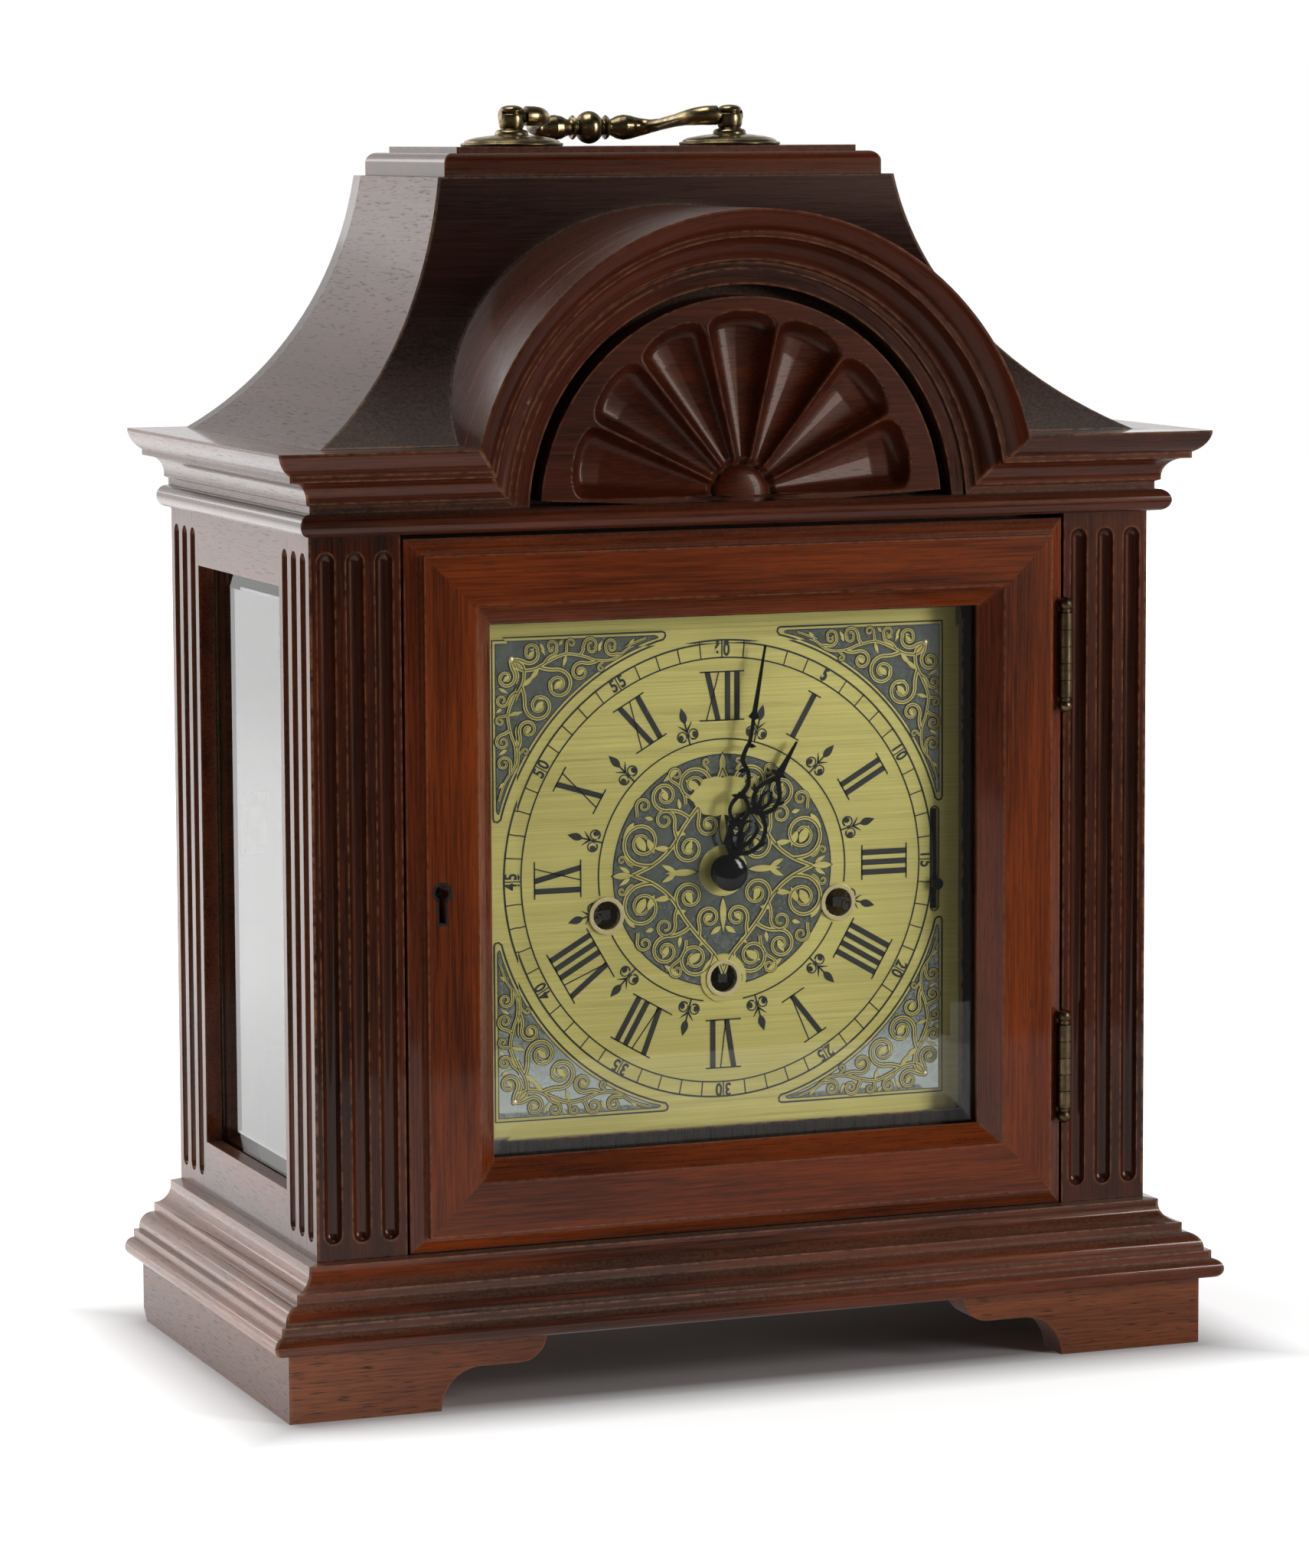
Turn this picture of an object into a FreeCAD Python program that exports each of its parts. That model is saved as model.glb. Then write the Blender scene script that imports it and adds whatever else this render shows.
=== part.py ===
"""Bracket clock: a mahogany case with a concave bell top, arched hood, fluted corners,
a hinged glazed front door, a folding brass handle and a three-winder movement.

Millimetres. +Z is up, the dial faces -Y, and the origin is on the floor under the middle
of the clock's outer box.
"""
import FreeCAD, Part
import Sketcher
import math
import os
import re

DRIVING = [
    # plinth and base moulding
    ("foot_height", 22.6, "plinth board, floor to base moulding"),
    ("foot_out", 14.1, "plinth face beyond the case face"),
    ("foot_board", 14.0, "plinth board thickness"),
    ("bracket_inner", 108.9, "middle of the clock to the inner end of a front bracket"),
    ("bracket_round", 13.6, "rounded step at a bracket's inner end"),
    ("bracket_flat", 13.3, "level stretch of a bracket's shaped edge"),
    ("base_height", 25.7, "base moulding height"),
    ("base_out", 20.4, "base moulding projection"),
    ("rail_depth", 15.0, "solid rail behind a moulding's face"),
    ("floor_board", 12.0, "thickness of the board inside the base"),
    # case
    ("case_half", 145.5, "half the case width"),
    ("case_depth", 155.7, "case depth"),
    ("case_height", 231.7, "case height between the mouldings"),
    ("side_board", 12.0, "side frame thickness"),
    ("stile_depth", 17.0, "depth of the fluted front stiles"),
    ("stile_inner", 115.2, "middle of the clock to a front stile's inner edge"),
    ("mask_board", 3.5, "board round the dial"),
    ("window_margin", 32.0, "side stile width"),
    ("window_rail", 18.0, "side rail height"),
    ("pane_setback", 5.5, "side glass behind the side face"),
    ("pane_rebate", 3.0, "overlap of a pane behind its opening"),
    ("pane", 3.0, "glass thickness"),
    ("flute_pitch", 9.6, "between flute centres"),
    ("flute_radius", 2.85, "half the flute width"),
    ("flute_end", 5.6, "flute end to the end of the stile"),
    # hood
    ("top_forward", 3.5, "top mouldings stand forward of the case by this"),
    ("top_board_height", 7.2, "bullnosed board on the case"),
    ("top_board_out", 5.1, "bullnose projection"),
    ("cornice_height", 19.6, "cornice height"),
    ("cornice_out", 14.9, "cornice projection"),
    ("arch_radius", 97.6, "outside radius of the arch"),
    ("arch_opening", 73.2, "radius of the opening in the hood"),
    ("arch_drop", 3.6, "arch centre below the top board's upper face"),
    ("tympanum_gap", 3.8, "groove round the carved half disc"),
    ("hood_board", 12.0, "hood board thickness"),
    ("shell_radius", 61.0, "radius of the carved fan"),
    ("shell_hub", 9.0, "radius of the fan's hub"),
    ("shell_dish", 5.0, "depth of a petal at the rim"),
    # bell and top plate
    ("bell_height", 84.2, "bell height"),
    ("bell_top_half", 80.6, "half the bell's width at its top"),
    ("bell_radius", 115.5, "radius of the bell's hollow"),
    ("bell_rise", 18.0, "centre of the hollow above the bell's top"),
    ("bell_board", 12.0, "bell panel thickness, measured level"),
    ("bell_back_inset", 4.2, "back of the bell in front of the case back"),
    ("plate_height", 9.7, "top plate height"),
    ("plate_inset", 3.2, "top plate edge inside the bell's top edge"),
    ("plate_step", 6.5, "top plate's upper step inside its lower edge"),
    # handle
    ("post_span", 39.3, "middle of the clock to a handle post"),
    ("post_radius", 4.4, "handle post radius"),
    ("post_height", 9.3, "handle post above its rose"),
    ("rose_radius", 19.1, "rose radius"),
    ("rose_height", 4.4, "rose height"),
    ("pivot_height", 5.6, "handle pivot above the rose"),
    ("pin_radius", 2.2, "handle pivot pin radius"),
    ("bail_reach", 32.0, "grip centre behind the pivots, folded down"),
    ("knop_radius", 5.8, "radius of the ball in the middle of the grip"),
    ("grip_radius", 4.7, "largest radius of the grip's swellings"),
    # front door
    ("door_gap", 1.0, "gap round the front door"),
    ("door_proud", 5.0, "door face in front of the case face"),
    ("door_back", 13.0, "door's back behind the case face"),
    ("door_edge", 5.2, "width of the door's moulded outer edge"),
    ("opening_half", 85.0, "half the width of the glazed opening"),
    ("opening_low", 29.2, "glazed opening above the base moulding"),
    ("opening_height", 172.7, "height of the glazed opening"),
    ("opening_slope", 6.6, "width of the moulding round the opening"),
    ("glass_back", 3.0, "door glass behind the case face"),
    ("hinge_radius", 2.4, "hinge knuckle radius"),
    ("hinge_lift", 0.4, "hinge knuckle clear of the face it stands on"),
    ("hinge_length", 28.0, "knuckled length of a hinge"),
    ("hinge_from_end", 47.0, "hinge centre from the end of the case"),
    ("keyhole_x", 104.0, "keyhole from the middle of the clock"),
    ("bolt_travel", 4.0, "travel of the lock bolt"),
    # dial and hands
    ("dial_back", 17.0, "dial face behind the case face"),
    ("dial_half", 85.5, "half the dial plate's width"),
    ("dial_plate_thick", 1.5, "dial plate thickness"),
    ("dial_rise", 116.5, "dial centre above the base moulding"),
    ("winder_span", 40.8, "side winding squares from the middle"),
    ("winder_drop", 12.65, "side winding squares below the dial centre"),
    ("low_winder_drop", 35.6, "middle winding square below the dial centre"),
    ("collet_radius", 6.1, "winding hole collet radius"),
    ("winding_hole", 4.7, "winding hole radius"),
    ("lever_x", 75.75, "chime lever slot from the middle"),
    ("lever_slot", 33.7, "length of the chime lever slot"),
    ("lever_drop", 8.2, "chime lever below the dial centre"),
    ("minute_length", 75.3, "minute hand, centre to tip"),
    ("hour_length", 48.6, "hour hand, centre to tip"),
    ("minute_angle", 9.9, "degrees past twelve of the minute hand"),
    ("hour_angle", 30.8, "degrees past twelve of the hour hand"),
    ("hand_thick", 0.8, "thickness of the hands"),
    # movement
    ("seat_rise", 47.0, "movement seat above the base moulding"),
    ("seat_thick", 9.0, "seat board and cheek thickness"),
    ("seat_half", 78.0, "half the seat board's width"),
    ("plate_thick", 2.5, "movement plate thickness"),
    ("plate_gap", 50.0, "between the movement plates"),
    ("dial_feet", 11.5, "dial plate to front movement plate"),
    ("plate_half", 63.0, "half the movement plate's width"),
    ("plate_tall", 118.0, "movement plate height"),
    ("barrel_radius", 18.5, "mainspring barrel radius"),
    ("barrel_length", 36.0, "mainspring barrel length"),
    ("arbor_radius", 2.0, "radius of the winding arbors"),
    ("train_module", 0.5, "module of the going train"),
    ("escape_module", 0.65, "module of the escape wheel"),
    ("great_teeth", 78, "teeth of the great wheel"),
    ("centre_pinion_teeth", 10, "teeth of the centre pinion"),
    ("centre_teeth", 64, "teeth of the centre wheel"),
    ("train_pinion_teeth", 8, "teeth of the third and escape pinions"),
    ("third_teeth", 60, "teeth of the third wheel"),
    ("escape_teeth", 30, "teeth of the escape wheel"),
    ("cannon_teeth", 12, "teeth of the cannon pinion"),
    ("minute_teeth", 36, "teeth of the minute wheel"),
    ("minute_pinion_teeth", 10, "teeth of the minute wheel's pinion"),
    ("hour_teeth", 40, "teeth of the hour wheel"),
    ("motion_module", 0.6, "module of the cannon pinion and minute wheel"),
    ("wheel_thick", 1.6, "train wheel thickness"),
    ("pinion_long", 4.0, "train pinion length"),
    ("pallet_rise", 15.5, "anchor arbor above the escape arbor"),
    ("pendulum_length", 76.0, "suspension to the middle of the bob"),
    ("bob_radius", 15.0, "pendulum bob radius"),
    ("rod_rise", 40.0, "chime rods above the base moulding"),
    ("rod_radius", 1.5, "chime rod radius"),
    ("rod_length", 200.0, "chime rod length"),
    # back door
    ("back_board", 8.0, "back door thickness"),
    ("knob_height", 6.0, "back door knob stands out by this"),
    # clearances
    ("fit", 0.3, "clearance round pieces that slide together"),
    ("bearing", 0.06, "radial clearance of a pivot or pin"),
]

WORKED = [
    ("face_y", "(base_out - case_depth - knob_height) / 2", "case face"),
    ("back_y", "face_y + case_depth", "case back"),
    ("base_top", "foot_height + base_height", "top of the base moulding"),
    ("case_top", "base_top + case_height", "top of the case sides"),
    ("board_top", "case_top + top_board_height", "top of the bullnosed board"),
    ("cornice_top", "board_top + cornice_height", "top of the cornice"),
    ("bell_top", "cornice_top + bell_height", "top of the bell"),
    ("plate_top", "bell_top + plate_height", "top of the top plate"),
    ("hood_y", "face_y - top_forward", "plane that the top mouldings stand out from"),
    ("arch_z", "board_top - arch_drop", "arch centre"),
    ("disc_radius", "arch_opening - tympanum_gap", "carved half disc"),
    ("cove_top", "sqrt(bell_radius^2 - bell_rise^2)", "level reach of the hollow at its top"),
    ("cove_low", "sqrt(bell_radius^2 - (bell_rise + bell_height)^2)", "and at its bottom"),
    ("bell_spread", "cove_top - cove_low", "how far the bell widens"),
    ("bell_low_half", "bell_top_half + bell_spread", "half the bell's width at its bottom"),
    ("bell_top_y", "hood_y + case_half - bell_top_half", "front of the bell's top"),
    ("bell_back_y", "back_y - bell_back_inset", "back of the bell"),
    ("handle_y", "(bell_top_y + bell_back_y) / 2", "handle posts"),
    ("rose_top", "plate_top + rose_height", "top of the roses"),
    ("pivot_z", "rose_top + pivot_height", "handle pivots"),
    ("door_half", "stile_inner - door_gap", "half the door's width"),
    ("door_low", "base_top + door_gap / 2", "door's lower edge"),
    ("door_top", "case_top - door_gap - 0.8", "door's upper edge"),
    ("door_y", "face_y - door_proud", "door face"),
    ("opening_z", "base_top + opening_low", "lower edge of the glazed opening"),
    ("opening_top", "opening_z + opening_height", "upper edge of the glazed opening"),
    ("hinge_x", "door_half + door_gap / 2", "front hinge axis"),
    ("hinge_y", "face_y - hinge_radius - hinge_lift", "front hinge axis"),
    ("dial_y", "face_y + dial_back", "dial face"),
    ("dial_z", "base_top + dial_rise", "dial centre"),
    ("dial_rear", "dial_y + dial_plate_thick", "back of the dial plate"),
    ("front_y", "dial_rear + dial_feet", "front movement plate"),
    ("inner_y", "front_y + plate_thick", "inside of the front movement plate"),
    ("rear_y", "inner_y + plate_gap", "inside of the back movement plate"),
    ("out_y", "rear_y + plate_thick", "outside of the back movement plate"),
    ("seat_z", "base_top + seat_rise", "top of the seat board"),
    ("side_winder_z", "dial_z - winder_drop", "side winding squares"),
    ("low_winder_z", "dial_z - low_winder_drop", "middle winding square"),
    ("lever_z", "dial_z - lever_drop", "chime lever"),
    ("great_module", "2 * low_winder_drop / (great_teeth + centre_pinion_teeth)", "great wheel"),
    ("train_reach", "train_module * (centre_teeth + train_pinion_teeth) / 2", "centre to third"),
    ("third_x", "train_reach * 0.69", "third arbor from the middle"),
    ("third_z", "dial_z + sqrt(train_reach^2 - third_x^2)", "third arbor"),
    ("escape_reach", "train_module * (third_teeth + train_pinion_teeth) / 2", "third to escape"),
    ("escape_z", "third_z + sqrt(escape_reach^2 - third_x^2)", "escape arbor"),
    ("anchor_z", "escape_z + pallet_rise", "anchor arbor and pendulum suspension"),
    ("motion_reach", "motion_module * (cannon_teeth + minute_teeth) / 2", "centre to minute wheel"),
    ("hour_module", "2 * motion_reach / (minute_pinion_teeth + hour_teeth)", "hour wheel"),
    ("minute_x", "-motion_reach * sqrt(0.5)", "minute wheel's post"),
    ("minute_z", "dial_z + motion_reach * sqrt(0.5)", "minute wheel's post"),
    ("rod_z", "base_top + rod_rise", "chime rods"),
    ("hammer_y", "out_y + 15.5", "hammer arbor"),
    ("hammer_z", "seat_z + 7", "hammer arbor"),
    ("back_half", "case_half - side_board - 0.7", "half the back door's width"),
    ("back_hinge_y", "back_y + hinge_radius + hinge_lift", "back hinge axis"),
    ("lock_z", "base_top + 114", "middle of the lock"),
]

doc = FreeCAD.newDocument("bracket_clock")
owner = {}
subparts = []


def fill_sheets():
    """Driving sizes go in one sheet as numbers, places worked from them in a second."""
    dims = doc.addObject("Spreadsheet::Sheet", "dims")
    for row, (alias, value, note) in enumerate(DRIVING, 1):
        dims.set("A%d" % row, alias)
        dims.set("B%d" % row, str(value))
        dims.set("C%d" % row, note)
        dims.setAlias("B%d" % row, alias)
        owner[alias] = dims
    worked = doc.addObject("Spreadsheet::Sheet", "worked")
    for row, (alias, formula, note) in enumerate(WORKED, 1):
        worked.set("A%d" % row, alias)
        worked.set("B%d" % row, "=" + bound(formula))
        worked.set("C%d" % row, note)
        worked.setAlias("B%d" % row, alias)
        owner[alias] = worked
    doc.recompute()


def bound(text):
    """An expression with each alias prefixed by the sheet that holds it."""
    def prefix(match):
        name = match.group(0)
        return "%s.%s" % (owner[name].Name, name) if name in owner else name
    return re.sub(r"[a-z]\w*", prefix, text.replace("worked.", "").replace("dims.", ""))


class Sizes:
    """Read a size by its alias, as a number."""

    def __getattr__(self, alias):
        return float(owner[alias].get(alias))


size = Sizes()


def bind(piece, **expressions):
    for name, text in expressions.items():
        piece.setExpression(name.replace("__", "."), bound(str(text)))
    return piece


AIM = {
    "z": FreeCAD.Rotation(),
    "x": FreeCAD.Rotation(FreeCAD.Vector(0, 1, 0), 90),
    "y": FreeCAD.Rotation(FreeCAD.Vector(1, 0, 0), -90),
}


def put(piece, at, aim="z"):
    """Place a piece by three expressions, its own z axis turned to x, y or z."""
    piece.Placement = FreeCAD.Placement(FreeCAD.Vector(), AIM[aim])
    return bind(piece, Placement__Base__x=at[0], Placement__Base__y=at[1], Placement__Base__z=at[2])


def box(low, high):
    """A block between two corners, each given as three expressions."""
    block = doc.addObject("Part::Box", "block")
    spans = ["(%s) - (%s)" % (b, a) for a, b in zip(low, high)]
    bind(block, Length=spans[0], Width=spans[1], Height=spans[2])
    return put(block, low)


def rod(radius, length, at, aim="z"):
    cylinder = doc.addObject("Part::Cylinder", "rod")
    bind(cylinder, Radius=radius, Height=length)
    return put(cylinder, at, aim)


def cone(radius1, radius2, length, at, aim="z"):
    taper = doc.addObject("Part::Cone", "taper")
    bind(taper, Radius1=radius1, Radius2=radius2, Height=length)
    return put(taper, at, aim)


def ball(radius, at):
    sphere = doc.addObject("Part::Sphere", "ball")
    bind(sphere, Radius=radius)
    return put(sphere, at)


def fuse(*pieces):
    if len(pieces) == 1:
        return pieces[0]
    union = doc.addObject("Part::MultiFuse", "union")
    union.Shapes = list(pieces)
    return union


def cut(base, *tools):
    difference = doc.addObject("Part::Cut", "difference")
    difference.Base = base
    difference.Tool = fuse(*tools)
    return difference


def group(*pieces):
    """Separate solids kept together as one sub-part."""
    compound = doc.addObject("Part::Compound", "set")
    compound.Links = list(pieces)
    return compound


def shaped(shape):
    """A piece whose outline the primitives can't give."""
    piece = doc.addObject("Part::Feature", "shaped")
    piece.Shape = shape
    return piece


def subpart(label, piece):
    piece.Label = label
    subparts.append(piece)
    return piece


def vec(x, y, z):
    return FreeCAD.Vector(x, y, z)


def outline(start, *steps):
    """A closed wire. A step is the next point, or (point passed through, end) for an arc."""
    edges = []
    here = start
    for step in steps:
        if isinstance(step, tuple):
            edges.append(Part.Arc(here, step[0], step[1]).toShape())
            here = step[1]
        else:
            edges.append(Part.LineSegment(here, step).toShape())
            here = step
    if here.distanceToPoint(start) > 1e-6:
        edges.append(Part.LineSegment(here, start).toShape())
    return Part.Wire(edges)


def on_arc(centre, radius, degrees, plane):
    """A point of a circle, put into space by plane(u, v)."""
    turn = math.radians(degrees)
    return plane(centre[0] + radius * math.cos(turn), centre[1] + radius * math.sin(turn))


def prism(wire, along):
    return Part.Face(wire).extrude(along)


# ---- moulding profiles, as (projection, height above the moulding's foot) ----

def base_profile(plane):
    """Bead, fillet, ovolo, fillet and cove, from the bottom up."""
    out = size.base_out
    high = size.base_height
    bead = 3.2
    ovolo = 4.9
    cove = 6.0
    bead_x = out - bead
    ovolo_foot = (bead_x - 1.9, 9.9)
    cove_foot = (ovolo_foot[0] - ovolo - 0.6, ovolo_foot[1] + ovolo + 3.1)
    cove_centre = (cove_foot[0], cove_foot[1] + cove)
    ovolo_centre = (ovolo_foot[0] - ovolo, ovolo_foot[1])
    return outline(
        plane(-size.rail_depth, 0),
        plane(bead_x, 0),
        (on_arc((bead_x, bead), bead, 0, plane), plane(bead_x, 2 * bead)),
        plane(bead_x, ovolo_foot[1] - 0.7),
        plane(ovolo_foot[0], ovolo_foot[1] - 0.7),
        plane(*ovolo_foot),
        (on_arc(ovolo_centre, ovolo, 45, plane), plane(ovolo_centre[0], ovolo_foot[1] + ovolo)),
        plane(cove_foot[0], ovolo_foot[1] + ovolo),
        plane(*cove_foot),
        (on_arc(cove_centre, cove, 225, plane), plane(cove_centre[0] - cove, cove_centre[1])),
        plane(cove_centre[0] - cove, high - 0.4),
        plane(0, high),
        plane(-size.rail_depth, high),
    )


def cornice_steps(plane):
    """The cornice's face from its foot to its top: slip, cove, fillet, ovolo and fillet."""
    out = size.cornice_out
    high = size.cornice_height
    cove = 6.4
    cove_foot = (2.3, 4.0)
    cove_centre = (cove_foot[0] + cove, cove_foot[1])
    ovolo_foot = (cove_centre[0] + 1.2, high - 7.2)
    ovolo_top = (out, high - 1.0)
    middle = ((ovolo_foot[0] + ovolo_top[0]) / 2 + 0.7, (ovolo_foot[1] + ovolo_top[1]) / 2 - 0.6)
    return [
        plane(0.8, 0),
        plane(0.8, 2.4),
        plane(cove_foot[0], 3.0),
        plane(*cove_foot),
        (on_arc(cove_centre, cove, 135, plane), plane(cove_centre[0], cove_foot[1] + cove)),
        plane(ovolo_foot[0], cove_foot[1] + cove),
        plane(*ovolo_foot),
        (plane(*middle), plane(*ovolo_top)),
        plane(out, high),
    ]


def front_plane(y, z):
    """Profile plane of a moulding along the front: projection is towards -Y."""
    return lambda out, up: vec(0, y - out, z + up)


def side_plane(x, z, hand):
    """Profile plane of a moulding along a side: projection is towards hand * X."""
    return lambda out, up: vec(hand * (x + out), 0, z + up)


def mitre_wedge(y_corner, hand, front):
    """Half of space on one side of a front corner's 45 degree mitre, as a thick triangle."""
    far = 400.0
    x = size.case_half
    corner_out = vec(hand * (x + far), y_corner - far, -1)
    corner_in = vec(hand * (x - far), y_corner + far, -1)
    third = vec(hand * (x - far), y_corner - far, -1) if front else vec(hand * (x + far), y_corner + far, -1)
    wire = Part.makePolygon([corner_out, corner_in, third, corner_out])
    return prism(wire, vec(0, 0, 600))


# ---- plinth and base ----

def plinth():
    """Side boards run the full depth; the front has two shaped brackets and is open between."""
    half = size.case_half + size.foot_out
    front = size.face_y - size.foot_out
    board = size.foot_board
    high = size.foot_height
    for hand, side in ((-1, "left"), (1, "right")):
        def p(x, y):
            return vec(hand * x, y, 0)
        side_wire = Part.makePolygon([
            p(half, front), p(half, size.back_y), p(half - board, size.back_y),
            p(half - board, front + board), p(half, front)])
        side_board = prism(side_wire, vec(0, 0, high))
        clip = Part.makePolygon([
            vec(-400, size.back_y + 1, -1), vec(-400, size.back_y - 5, -1),
            vec(-400, size.back_y + 1, 5), vec(-400, size.back_y + 1, -1)])
        subpart("plinth_" + side, shaped(side_board.cut(prism(clip, vec(800, 0, 0)))))

        toe = size.bracket_inner
        step = size.bracket_round
        hollow = high - step
        level_end = toe - step - size.bracket_flat
        tip = level_end - hollow

        def face(x, z):
            return vec(hand * x, front, z)

        edge = outline(
            face(half, 0), face(half, high), face(tip, high),
            (on_arc((level_end, high), hollow, 225, face), face(level_end, step)),
            face(toe - step, step),
            (on_arc((toe - step, 0), step, 45, face), face(toe, 0)))
        bracket = prism(edge, vec(0, board, 0))
        corner = Part.makePolygon([
            vec(hand * half, front, -1), vec(hand * (half + 1), front, -1),
            vec(hand * (half + 1), front + board + 1, -1),
            vec(hand * (half - board - 1), front + board + 1, -1), vec(hand * half, front, -1)])
        subpart("bracket_" + side, shaped(bracket.cut(prism(corner, vec(0, 0, high + 2)))))


def base():
    """Base moulding on three sides, mitred at the front corners, and the board inside it."""
    long = 2 * (size.case_half + size.base_out + 1)
    front = prism(base_profile(front_plane(size.face_y, size.foot_height)), vec(long, 0, 0))
    front.translate(vec(-long / 2, 0, 0))
    for hand in (-1, 1):
        front = front.cut(mitre_wedge(size.face_y, hand, False))
    subpart("base_moulding_front", shaped(front))
    for hand, side in ((-1, "left"), (1, "right")):
        run = size.case_depth + size.base_out + 1
        shape = prism(base_profile(side_plane(size.case_half, size.foot_height, hand)), vec(0, run, 0))
        shape.translate(vec(0, size.back_y - run, 0))
        subpart("base_moulding_" + side, shaped(shape.cut(mitre_wedge(size.face_y, hand, True))))
    inner = "case_half - rail_depth"
    subpart("base_board", box(
        ("-(%s)" % inner, "face_y + rail_depth", "base_top - floor_board"),
        (inner, "back_y", "base_top")))


# ---- case ----

def flute(x, y):
    """A round-ended bar that cuts a half-round groove where its axis lies on a face."""
    radius = size.flute_radius
    low = size.base_top + size.flute_end + radius
    high = size.case_top - size.flute_end - radius
    bar = Part.makeCylinder(radius, high - low, vec(x, y, low))
    return bar.fuse([Part.makeSphere(radius, vec(x, y, low)), Part.makeSphere(radius, vec(x, y, high))])


def flute_places(middle):
    return [middle + k * size.flute_pitch for k in (-1, 0, 1)]


def side_frames():
    """Each side: a stile and rail frame, fluted up both stiles, mitred to the front stile."""
    margin = size.window_margin
    rail = size.window_rail
    for hand, side in ((-1, "left"), (1, "right")):
        outer = size.case_half
        inner = outer - size.side_board
        plan = Part.makePolygon([
            vec(hand * outer, size.face_y, size.base_top), vec(hand * outer, size.back_y, size.base_top),
            vec(hand * inner, size.back_y, size.base_top),
            vec(hand * inner, size.face_y + size.side_board, size.base_top),
            vec(hand * outer, size.face_y, size.base_top)])
        frame = prism(plan, vec(0, 0, size.case_height))
        window = Part.makeBox(
            60, size.case_depth - 2 * margin, size.case_height - 2 * rail,
            vec(hand * outer - 30, size.face_y + margin, size.base_top + rail))
        rebate_deep = size.side_board - size.pane_setback
        over = size.pane_rebate
        rebate = Part.makeBox(
            rebate_deep, size.case_depth - 2 * (margin - over), size.case_height - 2 * (rail - over),
            vec(hand * (inner + rebate_deep / 2) - rebate_deep / 2, size.face_y + margin - over,
                size.base_top + rail - over))
        middles = (size.face_y + margin / 2, size.back_y - margin / 2)
        flutes = [flute(hand * outer, y) for m in middles for y in flute_places(m)]
        catch_slot = Part.makeBox(
            3, 3.5, 20, vec(hand * (inner + 1.5) - 1.5, size.back_y - size.back_board - 3, size.dial_z - 10))
        tools = [window, rebate] + flutes + ([catch_slot] if hand < 0 else [])
        subpart("side_" + side, shaped(frame.cut(tools)))

        gap = 0.2
        wide = size.case_depth - 2 * (margin - over + gap)
        high = size.case_height - 2 * (rail - over + gap)
        pane = bevelled(wide, high, size.pane, 9.0)
        face_x = hand * (outer - size.pane_setback)
        start_y = size.face_y + margin - over + gap + (wide if hand < 0 else 0)
        turned = FreeCAD.Rotation(vec(0, 0, 1), 90 * hand)
        pane.Placement = FreeCAD.Placement(vec(face_x, start_y, size.base_top + rail - over + gap), turned)
        subpart("side_glass_" + side, shaped(pane))


def bevelled(wide, high, thick, bevel):
    """A pane in X-Z whose front face, on -Y, is bevelled all round."""
    edge = thick * 0.45
    back = Part.makeBox(wide, thick - edge, high, vec(0, edge, 0))
    low = Part.makePolygon([vec(0, edge, 0), vec(wide, edge, 0), vec(wide, edge, high),
                            vec(0, edge, high), vec(0, edge, 0)])
    top = Part.makePolygon([vec(bevel, 0, bevel), vec(wide - bevel, 0, bevel),
                            vec(wide - bevel, 0, high - bevel), vec(bevel, 0, high - bevel),
                            vec(bevel, 0, bevel)])
    return back.fuse(Part.makeLoft([low, top], True, True)).removeSplitter()


def front_frame():
    """The fluted front stiles, joined behind the door by the board round the dial."""
    y = size.face_y
    deep = size.stile_depth
    outer = size.case_half
    side = size.side_board
    solids = []
    for hand in (-1, 1):
        plan = Part.makePolygon([
            vec(hand * outer, y, size.base_top), vec(hand * size.stile_inner, y, size.base_top),
            vec(hand * size.stile_inner, y + deep, size.base_top),
            vec(hand * (outer - side), y + deep, size.base_top),
            vec(hand * (outer - side), y + side, size.base_top), vec(hand * outer, y, size.base_top)])
        middle = (outer + size.stile_inner) / 2
        flutes = [flute(hand * x, y) for x in flute_places(middle)]
        solids.append(prism(plan, vec(0, 0, size.case_height)).cut(flutes))
    mask = Part.makeBox(
        2 * size.stile_inner, size.mask_board, size.case_height,
        vec(-size.stile_inner, y + size.dial_back - size.mask_board, size.base_top))
    lip = 2.0
    view = size.dial_half - lip
    mask = mask.cut(Part.makeBox(2 * view, 60, 2 * view, vec(-view, y - 20, size.dial_z - view)))
    mortise = Part.makeBox(
        size.bolt_travel + 1, 4.4, 8.4,
        vec(-size.stile_inner - size.bolt_travel - 1, y + 6.8, size.lock_z - 4.2))
    frame = solids[0].fuse([mask, solids[1]]).cut(mortise)
    subpart("front_frame", shaped(frame.removeSplitter()))


# ---- hood ----

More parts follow.
